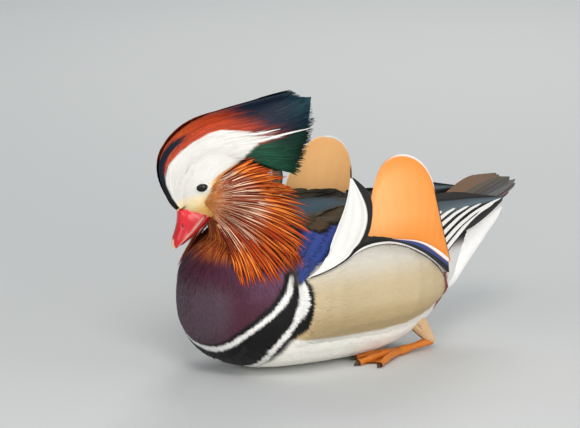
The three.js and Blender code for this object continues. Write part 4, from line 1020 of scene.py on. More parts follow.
def hairs(coat, count, seed, across, along, length, width, lift, stray=0.05, contrast=0.3, cup=0.25):
    """Hairs combed over both sides; across and along are ranges on the comb, length in millimetres."""
    rng = np.random.default_rng(seed)
    whole = np.linalg.norm(np.diff(COMB_LINES, axis=1), axis=2).sum(1)
    s = np.linspace(0, 1, len(HAIR_TAPER))[None, :]
    for side in SIDES:
        v = rng.uniform(*across, count)[:, None]
        start = rng.uniform(*along, count)[:, None]
        share = (start - along[0]) / (along[1] - along[0])
        long = (length[0] + (length[1] - length[0]) * share) * rng.uniform(0.75, 1.2, (count, 1))
        u = start + long / np.interp(v, np.arange(len(COMB)), whole) * s
        place = combed(np.broadcast_to(v, u.shape) + rng.normal(0, stray, (count, 1)) * s, u)
        keep = u[:, -1] < 1.02 - 0.16 * rng.random(count) ** 2
        keep &= eye_distance(place[..., 0], place[..., 1]).min(1) > 1.05
        over = rng.uniform(*lift, (count, 1)) * grown(s, 4) - ROOT_SINK * (1 - grown(s, 5))
        spine, out = comb_point(side, place[keep, :, 0], place[keep, :, 1], over[keep])
        n = len(spine)
        half = width / 2 * rng.uniform(0.7, 1.3, (n, 1)) * HAIR_TAPER
        jitter = rng.normal(0, 1.0, (n, 1, 1))
        shade = rng.uniform(1 - contrast, 1 + contrast, (n, 1, 1, 1))

        def tint(verts, t, aside, jitter=jitter, shade=shade):
            base = crest_coat_tint(verts, 2.6 * jitter)
            pale = ramp(0.35, 0.7, base.min(-1))[..., None]
            dark = 1 - 0.45 * contrast * ramp(0.3, 1.0, np.abs(aside))[..., None]
            light = 1 - 0.03 * np.abs(jitter[..., None])
            return np.clip(base * ((shade * dark) * (1 - pale) + light * pale), 0, 1)
        coat.add(spine, out, half, tint, head_uv(spine[:, 0]), 3, cup)


def stripes(coat):
    """The white lines that run on from the brow over the green."""
    rng = np.random.default_rng(33)
    s = np.linspace(0, 1, 16)[None, :]
    for side in SIDES:
        for line, count, spread in WHITE_LINES:
            begin = rng.uniform(0, 0.35, (count, 1))
            u = begin + (rng.uniform(0.86, 1.0, (count, 1)) - begin) * s
            place = smooth_line(line, u)
            offset = rng.uniform(-spread, spread, (count, 1)) * (1 - 0.75 * u)
            spine, out = comb_point(side, place[..., 0] + 0.6 * offset, place[..., 1] + offset,
                                    rng.uniform(1.5, 2.2, (count, 1)) * grown(s, 5))
            half = 0.42 * hump(0.12 + 0.85 * s) ** 0.6 * np.ones((count, 1))
            coat.add(spine, out, half, "white", head_uv(spine[:, 0]), 3, 0.2)


def crest():
    silk = coat_material("crest_feather", roughness=0.48, sheen=0.0, barbs=1.2, depth=0.06, coat=0.02,
                         speck=0.15, gloss=0.22)
    finish_piece(crest_core(), silk, ["crest"])
    crown, brow, back, white = Coat(), Coat(), Coat(), Coat()
    hairs(crown, 2600, 30, (0, 1.25), (0.0, 0.82), (16, 40), 1.0, (0.0, 1.0))
    hairs(brow, 3600, 31, (0.9, 3.7), (0.0, 0.56), (6, 20), 0.7, (0.15, 0.5), stray=0.03, contrast=0.04,
          cup=0.08)
    hairs(back, 1700, 32, (0.0, 3.0), (0.45, 0.92), (26, 30), 0.9, (0.0, 1.3))
    hairs(back, 1300, 34, (2.6, 4.0), (0.4, 0.86), (20, 22), 0.9, (0.0, 1.3), stray=0.08)
    stripes(white)
    crown.piece("crest_coat", silk, ["crest"], "crest_feather")
    short = coat_material("brow_feather", roughness=0.62, sheen=0.0, barbs=1.2, depth=0.04, speck=0.05)
    brow.piece("brow_coat", short, ["crest", "head"], "crest_feather")
    back.piece("crest_tail", silk, ["crest"], "crest_feather")
    plain = coat_material("white_feather", roughness=0.5, sheen=0.0, speck=0.04)
    white.piece("crest_stripes", plain, ["crest"], "crest_feather")


crest()


# The ruff: narrow plumes that fan from the cheek over the neck and breast

RUFF_ROOT = [  # f, y and h in the head's frame, from the nape round to the throat
    (-27, 19.3, 14.5), (-24.5, 20.2, 11.5), (-22.0, 20.6, 8.5), (-19.0, 20.4, 5.5), (-16.5, 19.8, 3.0),
    (-14.0, 19.2, 0.5), (-11.0, 18.0, -1.5), (-8.5, 16.4, -3.0), (-6.0, 14.0, -4.5), (-4.5, 12.0, -6.0),
    (-2.5, 10.0, -7.0), (-1.0, 7.0, -7.6), (0.0, 3.0, -8.0),
]
RUFF_TIP = [  # x, y and z of the tips, in the same order, the left side's y without its sign
    (-85.2, 29, 170.3), (-72.9, 32, 165.3), (-61.5, 35, 160.3), (-55.5, 36, 154.2), (-48.5, 37, 146.4),
    (-44.3, 38, 138.9), (-37.8, 39, 132.3), (-35.9, 41, 125.7), (-36.3, 44, 119.2), (-38.5, 48, 113.0),
    (-48.6, 56, 105.5), (-55.0, 61, 100.1), (-60.6, 61, 91.8), (-66.6, 60, 84.5), (-78.9, 57, 77.0),
    (-87.8, 53, 74.2), (-94.8, 47, 74.9), (-101.3, 38, 76.0), (-105.5, 25, 84.0), (-107.0, 14, 88.0),
    (-108.0, 3, 90.0),
]
RUFF_LAYERS = [  # plumes, begin, end, width and lift: the long ones lie lowest
    (48, 0.2, 1.0, 3.8, 0.3), (48, 0.14, 0.97, 3.6, 1.1), (46, 0.08, 0.9, 3.3, 1.8),
    (44, 0.02, 0.76, 2.7, 2.4), (42, -0.02, 0.54, 2.0, 2.9), (60, -0.06, 0.28, 1.2, 2.6),
    (110, -0.1, 0.13, 1.0, 1.9), (120, -0.13, 0.07, 0.9, 1.2),
]
RUFF_BOW = 0.13
RUFF_END = 0.84

bed_tree = tree_of(*node_arrays(["head", "neck", "breast", "torso", "wing_left", "wing_right"]))
bed_reach = reaches(bed_tree, point, (-132, 60), (0, 180), 3)


def ruff_tint(rng, begin, end):
    """Dark rufous edges and a shaft that is buff on the cheek, cream past it and fire orange beyond."""
    def tint(verts, s, side):
        n = len(verts)
        along = begin + (end - begin) * s + rng.uniform(-0.06, 0.06, (n, 1, 1))
        warm = rng.uniform(0.75, 1.15, (n, 1, 1, 1))
        body = blend("ruff", "ruff_tip", ramp(0.5, 1.0, along))
        edge = blend("cheek", "ruff_edge", ramp(-0.06, 0.14, along))
        pale = paint("buff", ("ruff_shaft", ramp(-0.14, 0.04, along)),
                     ("ruff_streak", ramp(0.3, 0.52, along)), ("ruff_tip", ramp(0.75, 1.0, along)))
        broad = 0.4 + 0.2 * ramp(0.25, 0.6, along)
        chosen = rng.random((n, 1, 1)) < 0.55
        bright = np.where(chosen, rng.uniform(0.85, 1.0, (n, 1, 1)), rng.uniform(0.0, 0.35, (n, 1, 1)))
        shaft = np.clip(1.6 * (1 - np.abs(side) / broad), 0, 1) * bright
        colour = blend(body, edge, ramp(0.4, 0.85, np.abs(side)))
        return np.clip(blend(colour * warm, pale, shaft), 0, 1)
    return tint


def ruff(side):
    coat = Coat()
    rng = np.random.default_rng(40 + side)
    bed = bed_reach[side]
    s = np.linspace(0, 1, 15)[None, :]
    taper = np.maximum(np.clip((1 - s) / 0.5, 0, 1) ** 0.8, 0.03)
    for count, begin, end, width, lift in RUFF_LAYERS:
        share = RUFF_END * (np.arange(count) + rng.uniform(0.1, 0.9, count)) / count
        f, y, h = smooth_line(RUFF_ROOT, share).T
        root = on_head(f, side * y, h)
        tip = smooth_line(RUFF_TIP, share) * np.array([1, side, 1]) + rng.normal(0, 1.2, (count, 3))
        chord = tip - root
        size = np.linalg.norm(chord, axis=1, keepdims=True)
        bow = RUFF_BOW + 0.03 * rng.normal(size=(count, 1))
        aside = np.stack([-chord[:, 2], np.zeros(count), chord[:, 0]], 1) * bow
        middle = (root + tip) / 2 + aside + np.array([0, side, 0]) * 0.1 * size
        last = end * rng.uniform(0.93, 1.04, count)
        t = (begin + (last[:, None] - begin) * s)[..., None]
        path = root[:, None] * (1 - t) ** 2 + 2 * middle[:, None] * t * (1 - t) + tip[:, None] * t * t
        x, z = path[..., 0], path[..., 2]
        height = lift * grown(s, 4) + rng.uniform(-0.3, 0.4, (count, 1)) - ROOT_SINK * (1 - grown(s, 6))
        spine = point(x, side * (np.maximum(side * path[..., 1], bed.at(x, z) + 0.3) + height), z)
        slope_x, slope_z = bed.slope(x, z)
        out = unit(point(-np.clip(slope_x, -1, 1), side, -np.clip(slope_z, -1, 1)))
        out = across_normal(out, unit(np.gradient(spine, axis=1)))
        spread = 0.3 + 0.7 * ramp(-0.05, 0.5, t[..., 0])
        half = width / 2 * rng.uniform(0.8, 1.2, (count, 1)) * spread * taper
        coat.add(spine, out, half, ruff_tint(rng, begin, end), head_uv(spine[:, 0]), 7, 0.3)
    name = SIDES[side]
    plume = coat_material("ruff_feather_" + name, roughness=0.65, sheen=0.0, barbs=1.2, depth=0.05, speck=0.1,
                          gloss=0.1)
    coat.piece("ruff_" + name, plume, ["whiskers_" + name], "ruff_feather")


for side in SIDES:
    ruff(side)


# Sheets: broad smooth feathers between lines in x and z

COVER = ["torso", "breast", "rump", "flank_left", "flank_right", "wing_left", "wing_right"]
cover_tree = tree_of(*node_arrays(COVER))
cover_reach = reaches(cover_tree, point, (-80, 40), (110, 166), 3)


def add_sheet(coat, side, lines, y_of, tint_of, rows, cols, ribs=0.0):
    """A sheet through lines of (x, z); tint_of takes the share along them and the place across them."""
    v = np.linspace(0, len(lines) - 1, rows)[:, None] * np.ones((1, cols))
    u = np.linspace(0, 1, cols)[None, :] * np.ones((rows, 1))
    even = np.stack([smooth_line(line, u[0]) for line in lines])
    i = np.minimum(v[:, 0].astype(int), len(lines) - 2)
    p = (v[:, 0] - i)[:, None, None]
    flat = even[i] * (1 - p) + even[i + 1] * p
    x, z = flat[..., 0], flat[..., 1]
    verts = point(x, side * (y_of(x, z, u, v) + ribs * np.sin(v * 9 + 2 * u)), z)
    size = np.linalg.norm(np.diff(flat, axis=1), axis=2).sum(1).mean()
    coat.take(verts, grid_quads(rows, cols, flipped=side > 0), tint_of(u, v),
              point(u * size, (v - (len(lines) - 1) / 2) * 8, 0.3), body_uv(verts))


# Sails

SAIL_BASE = [(4, 92), (21, 92), (41, 90), (60, 85), (76, 77), (88, 68)]
SAIL_EDGE = [(8, 97), (15, 126.5), (22.5, 145), (30, 156), (40.5, 161), (55.5, 160.7), (68, 154), (77, 143.5),
             (79.5, 131.5), (81.5, 116), (85.5, 94), (91, 70)]
SAIL_Y = (58, 46)  # how far aside it stands, at its foot and its top
SAIL_Z = (60, 161)
SAIL_THICK = 0.9


def sail_y(z):
    height = np.clip((z - SAIL_Z[0]) / (SAIL_Z[1] - SAIL_Z[0]), 0, 1)
    return SAIL_Y[0] + (SAIL_Y[1] - SAIL_Y[0]) * height ** 1.5


def sail_tint(t, v, x, z):
    """Outer face: peach orange, paler at the front and middle as painted light and deeper at the rear and
    foot as painted shade, with a white upper rim and a black rear.
    """
    # pale is painted light over the front and middle of the sail, and the deeper orange low at the rear is
    # painted shade.
    pale = ramp(75, 15, x) * ramp(92, 118, z) * ramp(162, 138, z)
    rear = ramp(0.66, 0.7, t) * ramp(0.935, 0.95, v + 0.022 * ramp(0.7, 0.95, t))
    rim_share = ramp(0.972, 0.982, v) * ramp(0.32, 0.46, t) * ramp(0.72, 0.66, t)
    return paint("sail", ("sail_painted_light", 0.9 * pale), ("sail_deep_and_shade", 0.75 * ramp(116, 92, z) * ramp(10, 60, x)),
                 ("sail_deep_and_shade", 0.5 * ramp(0.8, 0.95, v)), ("white", rim_share), ("black", rear))


def sail(side):
    """One upright vane, closed round its edge: outer face, inner face and rim."""
    rows, cols = 56, 110
    v, t = np.broadcast_arrays(np.linspace(0, 1, rows)[:, None] ** 0.8, np.linspace(0, 1, cols)[None, :])
    base = smooth_line(SAIL_BASE, t[0])[None]
    edge = smooth_line(SAIL_EDGE, t[0])[None]
    flat = base * (1 - v[..., None]) + edge * v[..., None]
    x, z = flat[..., 0], flat[..., 1]
    rib = 0.12 * np.sin(t * 70 + 3 * v) * hump(v)
    y = sail_y(z) + 2.2 * hump(v) * hump(t) + rib
    thick = SAIL_THICK * hump(np.clip(t, 0.02, 0.98)) ** 0.4 * np.sqrt(1.02 - v ** 4)
    faces = np.concatenate([point(x, side * (y + way * thick / 2), z).reshape(-1, 3) for way in (1, -1)])
    front = grid_quads(rows, cols, flipped=side > 0)
    loop = np.concatenate([np.arange(cols), np.arange(1, rows) * cols + cols - 1,
                           rows * cols - 2 - np.arange(cols - 1), (rows - 2 - np.arange(rows - 2)) * cols])
    after = np.roll(loop, -1)
    rim_quads = np.stack([loop, after, after + rows * cols, loop + rows * cols], 1)
    tint = sail_tint(t, v, x, z).reshape(-1, 3)
    # The inner face is painted paler than the outer: painted light that makes up for the shade on this face,
    # which tilts a little downwards.
    inner = blend(tint, "sail_inner_painted_light", ramp(0.5, 0.9, tint[:, 0] * (tint[:, 2] < 0.6)))
    lie = point(v * 60, (t - 0.45) * 60, 0).reshape(-1, 3)
    uv = np.stack([0.02 + 0.46 * t, 0.02 + 0.96 * v], -1).reshape(-1, 2)
    name = SIDES[side]
    all_quads = np.concatenate([front, front[:, ::-1] + rows * cols, rim_quads])
    obj = new_mesh("sail_coat_" + name, faces, all_quads, np.concatenate([tint, inner]),
                   np.concatenate([lie, lie]), np.concatenate([uv, uv + np.array([0.5, 0])]))
    finish_piece(obj, coat_material("sail_feather_" + name, barbs=1.1, depth=0.02, streak=0.006),
                 ["sail_" + name])


for side in SIDES:
    sail(side)


# Crescents: long scapulars, white with a black rear half, brown inside

CRESCENT_LINES = [  # front edge, middle, edge of the black, rear edge
    [(-57, 80.5), (-44.5, 85.7), (-38, 92.4), (-32.5, 100), (-31, 106), (-24.5, 114.5), (-16.5, 123),
     (-10.5, 131), (-6, 139), (-1.5, 149.5)],
    [(-57, 80.2), (-41, 86), (-28, 92.4), (-17.7, 100.4), (-14, 106.5), (-9, 113.8), (-4, 122.3), (-2, 131),
     (-1, 139), (-1.3, 149.5)],
    [(-57, 79.8), (-37, 86), (-18, 92.4), (-3, 100.8), (2.3, 106.9), (7, 113.1), (9.3, 121.5), (7.2, 131.3),
     (3.5, 139.5), (-1.1, 149.6)],
    [(-57, 79.3), (-37, 85.3), (-18, 91.4), (-8.7, 95.5), (-0.5, 99), (5.5, 102.5), (9.9, 109.5),
     (13.6, 118), (15.2, 127.5), (14.9, 134), (8.5, 141.8), (-0.9, 149.6)],
]


def crescent_y(x, z, u, v):
    """Resting on the flank at the foot and standing free above it."""
    free = np.interp(u, (0, 0.5, 1), (66, 62.5, 49))
    return free + 1.2 * hump(np.clip(v / 3, 0, 1)) * hump(np.clip(u, 0, 1))


def crescent_outside(u, v):
    # The white is darkened in bands where the feathers overlap: painted shade.
    fold_shade = 0.10 * ramp(0.88, 1.0, np.sin(v * 4.2 + 0.8)) + 0.02 * np.sin(v * 23 + 3 * u) ** 2
    return blend(TINT["white"] * (1 - fold_shade)[..., None], "black", ramp(1.97, 2.03, v))


def crescent_inside(u, v):
    brown = blend("brown", "mantle", ramp(2.4, 2.9, v))
    return blend(TINT["white"] * 0.94, brown, ramp(1.5, 1.62, v))


def crescent(side):
    coat = Coat()

    def outer_y(x, z, u, v):
        return np.maximum(crescent_y(x, z, u, v), cover_reach[side].at(x, z) + 2.2 * ramp(0.75, 0.35, u))

    def inner_y(x, z, u, v):
        edge = np.minimum(np.minimum(v, 3 - v) * 1.2, 1)
        return outer_y(x, z, u, v) - 0.9 * edge * hump(np.clip(u, 0.02, 0.98)) ** 0.5
    add_sheet(coat, side, CRESCENT_LINES, outer_y, crescent_outside, 46, 110, 0.12)
    add_sheet(coat, side, CRESCENT_LINES, inner_y, crescent_inside, 46, 110)
    name = SIDES[side]
    vane = coat_material("crescent_feather_" + name, speck=0.0, barbs=2.0, depth=0.03, streak=0.006)
    coat.piece("crescent_" + name, vane, ["scapulars_" + name], "crescent_feather")


for side in SIDES:
    crescent(side)


# The rim over the flank: a white line, black, the blue speculum and a white wedge under the sail

RIM_LINES = [
    [(-44, 83.2), (-20, 90), (-8, 94), (0, 95.2), (11, 96.2), (23, 96.1), (35, 93.8), (45.5, 90.1),
     (57, 84.3), (69, 77), (80, 67.6), (87.5, 59.5)],
    [(-44, 83.5), (-20, 90.7), (-8, 95.4), (0, 97.2), (11, 98.2), (23, 98.0), (35, 95.7), (46, 92),
     (57.4, 86.3), (69.6, 79.1), (80.8, 70.1), (88, 62.8)],
    [(-44, 84.5), (-20, 93), (-8, 99), (0, 101.8), (7.6, 103), (18.8, 101), (30.7, 98.2), (38.1, 96.1),
     (48, 93.1), (58.8, 88.2), (69.6, 81.7), (80.3, 74), (88, 67.6)],
    [(-44, 84.6), (-20, 93.1), (-8, 99.1), (0, 101.9), (7.6, 103.1), (18.8, 101.1), (30.7, 98.3),
     (38.1, 96.4), (46, 95.3), (54, 93.6), (64.6, 89.2), (72, 83.9), (78.4, 78.1), (88, 71.3)],
    [(-44, 84.7), (-20, 93.2), (-8, 99.2), (0, 102), (7.6, 103.2), (18.8, 101.2), (30.7, 98.4),
     (38.1, 96.6), (46, 95.9), (59.3, 93.4), (70.1, 88), (80.8, 81.2), (88, 74)],
]


def rim_tint(u, v):
    """From below: a white line, black, the blue speculum at the rear, and a white wedge edged orange."""
    brown = blend("black", "mantle", ramp(0.42, 0.3, u) * ramp(1.3, 1.7, v))
    blue = blend("blue", "blue_dark", 0.35 * ramp(2.6, 2.0, v))
    edge = blend("sail_deep_and_shade", "white", ramp(3.0, 3.22, v) * ramp(4.0, 3.86, v))
    rear = ramp(0.55, 0.6, u)
    return paint("black", ("white", ramp(0.18, 0.3, v) * ramp(0.98, 0.86, v)), (brown, ramp(1.0, 1.05, v)),
                 (blue, ramp(1.94, 2.04, v) * rear), (edge, ramp(2.94, 3.0, v) * rear))


def rim():
    coat = Coat()
    for side in SIDES:
        def y_of(x, z, u, v, side=side):
            on_body = cover_reach[side].at(x, z) + 1.0 - 0.7 * ramp(0.3, 0.0, v)
            under_sail = (sail_y(z) + 3.4) * ramp(0.6, 1.0, v) * ramp(0.25, 0.4, u)
            return np.maximum(on_body, under_sail)
        add_sheet(coat, side, RIM_LINES, y_of, rim_tint, 60, 120)
    coat.piece("flank_rim", coat_material("rim_feather", roughness=0.5, barbs=2.0, depth=0.05, speck=0.0),
               ["wing_left", "wing_right"], "wing_feather")


rim()


# The folded wing tip

def wing_tip_y(x):
    return 47 - 21 * np.clip((x - 72) / 94, -0.2, 1.1)


TIP_BASE = [  # lower edge, upper edge of the stripes' ground, upper edge of the grey, top of the dark band
    [(70, 62), (99, 77.5), (108, 84), (118, 88.2), (127, 88.6), (138.4, 91.8), (154.2, 97.5),
     (170.5, 105.5)],
    [(70, 100), (86, 106.5), (100, 108), (116, 108.5), (130, 108.8), (143, 108.4), (156, 107.8),
     (170.5, 107.5)],
    [(70, 118), (86, 117.6), (100, 116), (116, 114.5), (130, 113.2), (143, 111.5), (156, 109.8),
     (170.5, 108)],
    [(70, 123.5), (86, 124), (100, 122.8), (113.4, 121), (124, 118.6), (138, 115), (152, 111.8),
     (168, 108.5)],
]
# The white edges across the folded wing tip, each a line in x and z
STRIPES = [
    [(84, 106.5), (88.5, 108.4), (91.9, 109.6)],
    [(84, 101.8), (89.7, 104.2), (99.9, 107.4), (108.9, 109.3)],
    [(84, 95.2), (91.9, 98.8), (107.8, 104.8), (118, 107), (125.9, 108.3)],
    [(84, 87.2), (94.2, 92), (104, 96.9), (113.4, 101.1), (127, 105.4), (141.8, 107.9)],
    [(84, 78.2), (96.5, 85.5), (104, 89.9), (113.4, 95), (131.6, 101.6), (147.4, 105.2), (167, 108)],
    [(84, 69.5), (99.3, 80.3), (113.4, 89.2), (124.8, 96), (136.1, 100.9), (148, 103.9), (158, 105.8)],
]
STRIPE_WIDTH = 3.5
FAR_DROP = 10


def tip_tint(u, v):
    """From below: dark under the stripes, grey, then a dark band that is browner at its top."""
    dark = blend("black", "rump", ramp(0.4, 0.0, v) * 0.9)
    grey = blend("slate", TINT["slate"] * 0.55, ramp(1.1, 1.9, v))
    band = blend("rump", "black", ramp(2.5, 2.1, v))
    return paint(dark, (grey, ramp(0.82, 0.98, v)), (band, ramp(1.97, 2.05, v)))


def wing_tips(side):
    coat = Coat()
    lowered = FAR_DROP if side > 0 else 0
    base = []
    for row, line in zip((0, 0, 0.6, 1), TIP_BASE):
        base.append([(x, z - lowered * row * ramp(130, 104, x)) for x, z in line])

    def base_y(x, z, u, v):
        return wing_tip_y(x) + 0.8 + 1.2 * hump(v / 3)
    add_sheet(coat, side, base, base_y, tip_tint, 36, 80)
    s = np.linspace(0, 1, 40)
    for i, line in enumerate(STRIPES):
        x, z = smooth_line(line, s).T
        spine = point(x, side * (wing_tip_y(x) + 2.3 + 0.12 * i), z)[None]
        out = np.broadcast_to(unit(np.array([-0.15, side * 0.95, 0.3])), spine.shape)
        narrow = 0.42 if i == len(STRIPES) - 1 else 0.62
        half = (STRIPE_WIDTH / 2 * (1 - narrow * s) * np.minimum(1, (1.0001 - s) * 9) ** 0.6)[None]
        under = spine + np.array([0, -side * 0.25, -0.9])
        coat.add(under, out, half * 1.25, "black", body_uv(spine[:, 0]), 5, 0.1)
        coat.add(spine, out, half, "white", body_uv(spine[:, 0]), 5, 0.1)
    name = SIDES[side]
    flight = coat_material("flight_feather_" + name, roughness=0.5, coat=0.05, barbs=1.6, depth=0.06,
                           speck=0.0)
    coat.piece("wing_tip_" + name, flight, ["primaries_" + name], "flight_feather")


for side in SIDES:
    wing_tips(side)


# Tail

TAIL = {"root": (118, 91), "rise": 15.5, "step": 1.3, "yaw": 3.5, "fan": 1.6, "near_roll": 0.12,
        "far_roll": 0.5}
TAIL_LENGTH = [(-5.5, 58), (-4.5, 70), (-3.5, 82), (-2.5, 91), (-1.5, 94), (-0.5, 91), (0.5, 86), (2.5, 86),
               (5.5, 76)]
TAIL_LAYERS = [(12, 1.0, 0.0, 8, 1), (7, 0.5, 1.6, 7, 1.6)]  # count, share of length, lift, half, spacing


def tail_roll(aside):
    return np.where(aside > 0, TAIL["far_roll"], TAIL["near_roll"])


def tail_point(d, aside, lift):
    z = TAIL["root"][1] + d * math.tan(math.radians(TAIL["rise"])) + aside * tail_roll(aside) + lift
    return point(TAIL["root"][0] + d, aside, z)


def tail_tint(place):
    """Slate with a pinkish fringe near the camera's side, olive brown with a rusty edge on the far side."""
    far = ramp(-1.5, 1.5, place)
    ground = blend("tail_slate", "tail", far)
    fringe = blend("tail_fringe", "tail_rust", far)

    def tint(verts, s, side):
        side = np.abs(side)
        colour = blend(ground, fringe, ramp(0.8, 1.0, side) * 0.85)
        colour = blend(colour, ground * 1.35, 0.6 * ramp(0.5, 0.0, side))
        return colour * (1 - 0.45 * ramp(0.1, 0.02, side)[..., None])
    return tint


def tail():
    coat = Coat()
    s = np.linspace(0, 1, 24)
    for count, reach, lift, half, apart in TAIL_LAYERS:
        for i in range(count):
            place = (i - (count - 1) / 2) * apart
            d = table(TAIL_LENGTH, place) * reach * s - 8
            aside = place * TAIL["step"] + d * np.tan(np.radians(TAIL["yaw"] + TAIL["fan"] * place))
            spine = tail_point(d, aside, lift - 0.95 * abs(place))[None]
            out = unit(point(-0.25, -tail_roll(aside), 1))[None]
            blunt = 1.6 if place < -1 else 2.4
            end = np.maximum(0.0, 1 - np.clip((s - 0.7) / 0.3, 0, 1) ** blunt) ** 0.6
            shape = np.maximum(np.minimum(1, 0.45 + 2 * s) * end, 0.04)
            coat.add(spine, out, (half * shape)[None], tail_tint(place), body_uv(spine[:, 0]), 11, 0.08)
    coat.piece("tail_coat", coat_material("tail_feather", barbs=1.4, depth=0.05, streak=0.015), ["tail"],
               "tail_feather")


tail()

UNDERTAIL = [  # x, bottom, top and half width
    (106, 28, 74, 29), (128, 36, 82, 24), (142, 49, 87, 19), (156, 61, 91, 14.5), (168, 72, 94, 10.5),
    (178, 80, 95, 7), (187, 87, 96, 3), (190, 90, 95, 0.5),
]
UNDERTAIL_TOP = [(106, 74), (142, 86), (168, 94), (187, 98)]


def undertail_point(x, turn, lift):
    low, high, width = columns(UNDERTAIL, x)
    return point(x, *oval(high, low, width, turn, lift))


def undertail_tint(p):
    """White, painted brighter than the body's white as painted light against the shade under the wing tips,
    and dark where it meets the rump.
    """
    top = table(UNDERTAIL_TOP, p[..., 0])
    return blend("undertail", "rump", ramp(top - 2, top + 5, p[..., 2]))


def undertail():
    turn = circle(36, 360)[None, :]
    verts = undertail_point(np.linspace(100, 188, 40)[:, None], turn, -1.2).reshape(-1, 3)
    core = new_mesh("undertail_core", verts, grid_quads(40, 36, True), undertail_tint(verts))
    white = coat_material("undertail_feather", roughness=0.7, barbs=1.5, depth=0.05, speck=0.05)
    finish_piece(core, white, ["undertail"])
    coat = Coat()
    rng = np.random.default_rng(70)
    count = 1900
    start = 98 + 78 * rng.random(count) ** 0.9
    around = rng.uniform(0, 360, count)[:, None]
    length = rng.uniform(12, 20, count)
    s = np.linspace(0, 1, len(BROAD_OUTLINE))[None, :]
    x = np.minimum(start[:, None] + length[:, None] * s, 189.5)
    spine = undertail_point(x, around, grown(s, 3) * rng.uniform(0.3, 1.3, count)[:, None] - 1.0)
    out = unit(undertail_point(x, around, 8) - spine)
    half = rng.uniform(1.2, 2.0, count)[:, None] * BROAD_OUTLINE
    coat.add(spine, out, half, coloured(undertail_tint, 0.6, 71), body_uv(spine[:, 0]), 3, 0.08)
    coat.piece("undertail_coat", white, ["undertail"], "undertail_feather")


undertail()


# Bill and eyes

BILL_UPPER = [  # f, top, bottom and half width
    (-2, 9, 0.2, 8.6), (5, 17.5, -0.2, 9.9), (10.5, 18.6, -0.5, 9.6), (14, 14.8, -0.7, 9.1),
    (18, 11.6, -0.8, 8.6), (23, 8.6, -0.7, 8.2), (28, 6.3, -0.5, 7.5), (31.5, 4.6, -0.8, 5.9),
    (33.8, 2.7, -1.4, 3.4), (34.8, 0.6, 0.0, 0.6),
]
BILL_LOWER = [(-3, -0.6, -5.6, 7.6), (6, -1.1, -5.9, 8.3), (14, -1.3, -5.4, 7.7), (22, -1.3, -4.4, 7),
              (28, -1.2, -3.3, 5.9), (31.4, -1.6, -2.0, 0.8)]
CUTTING_EDGE = [(0, 1.6), (20, 1.2), (30, 0.3)]
NOSTRIL = {"f": 17.2, "h": 8.1, "length": 1.7, "height": 0.7, "slope": 38}


def bill_half(rows, round_above):
    """f, y and h of one half of the bill, which is round on one side and flat on the other."""
    at = [row[0] for row in rows]
    f = at[0] + (at[-1] - at[0]) * np.linspace(0, 1, 70) ** 0.85
    top, bottom, width = rounded(rows, f, np.linspace(-1.2, 1.2, 7))
    angle = circle(64)[None, :]
    share = np.cos(angle) if round_above else -np.cos(angle)
    flat, far = (bottom, top) if round_above else (top, bottom)
    lift = np.maximum(share, 0) ** 0.8
    h = flat[:, None] * (1 - lift) + far[:, None] * lift
    y = width[:, None] * np.sin(angle)
    return np.broadcast_to(f[:, None], y.shape), y, h


def bill_tint(f, y, h):
    """Red, with a painted highlight over its upper part near the base, the pale line of the cutting edge and
    a pale nail.
    """
    line = table(CUTTING_EDGE, f)
    seam = ramp(line, line - 0.6, h) * ramp(0, 3, f) * ramp(32, 29, f)
    return paint("bill", ("bill_highlight", 0.6 * ramp(4, 12, h) * ramp(24, 12, f)), ("tomium", seam),
                 ("nail", ramp(28.5, 31, f) * ramp(4.6, 3.4, np.abs(y))))


def smooth_material(name, settings):
    """Bare skin or horn in the colours of its points."""
    made = Finish(name, settings)
    made.put(made.shader, {"Base Color": made.attribute("tint")["Color"]})
    return made.material


def bill_piece(node, verts, tint, material):
    quads = grid_quads(*verts.shape[:2], True)
    obj = new_mesh(node + "_skin", verts.reshape(-1, 3), quads, tint.reshape(-1, 3))
    finish_piece(obj, material, [node])


def bill():
    material = smooth_material("bill", {
        "Roughness": 0.28, "Coat Weight": 0.3, "Coat Roughness": 0.15, "Subsurface Weight": 0.08,
        "Subsurface Radius": (0.002, 0.0008, 0.0006)})
    f, y, h = bill_half(BILL_UPPER, True)
    slope = math.radians(NOSTRIL["slope"])
    along = (f - NOSTRIL["f"]) * math.cos(slope) - (h - NOSTRIL["h"]) * math.sin(slope)
    over = (f - NOSTRIL["f"]) * math.sin(slope) + (h - NOSTRIL["h"]) * math.cos(slope)
    hole = (along / NOSTRIL["length"]) ** 2 + (over / NOSTRIL["height"]) ** 2
    # The nostril's pit is painted dark red as painted shade in the hole, and the ring round it is painted
    # lighter as a painted highlight on its raised edge.
    pit_shade = ramp(1.6, 0.6, hole)
    edge = ramp(1.4, 2.0, hole) * ramp(3.6, 2.4, hole)
    tint = paint(bill_tint(f, y, h), (TINT["bill_highlight"] * 1.15, 0.5 * edge), (TINT["bill"] * 0.3, pit_shade))
    upper = on_head(f, y * (1 - 0.08 * pit_shade), h)
    bill_piece("bill_upper", upper, tint, material)
    f, y, h = bill_half(BILL_LOWER, False)
    # The underside of the lower half is darkened to a dimmer copy of the bill's red: painted shade.
    tint = blend(bill_tint(f, y, h + 5), TINT["bill"] * 0.7, ramp(-1, -3, h))
    bill_piece("bill_lower", on_head(f, y, h), tint, material)


bill()


def ball(name, middle, radius, tint_of):
    rows, cols = 40, 64
    theta = np.linspace(0.001, math.pi - 0.001, rows)[:, None]
    phi = circle(cols)[None, :]
    way = point(np.sin(theta) * np.cos(phi), np.cos(theta), np.sin(theta) * np.sin(phi)).reshape(-1, 3)
    return new_mesh(name, middle + radius * way, grid_quads(rows, cols, True), tint_of(way))


EYE_BALL = {"radius": 6.0, "sink": 0.2}
FACE_FAR = 60  # from the head's middle to clear of its side


def face_y(f, h, side):
    """The y, in the head's frame, of the skin's surface."""
    start = Vector(on_head(f, side * FACE_FAR, h))
    hit = skin.tree.ray_cast(start, Vector(head_way(0, -side, 0)), 2 * FACE_FAR)
    return FACE_FAR - (Vector(hit[0]) - start).length


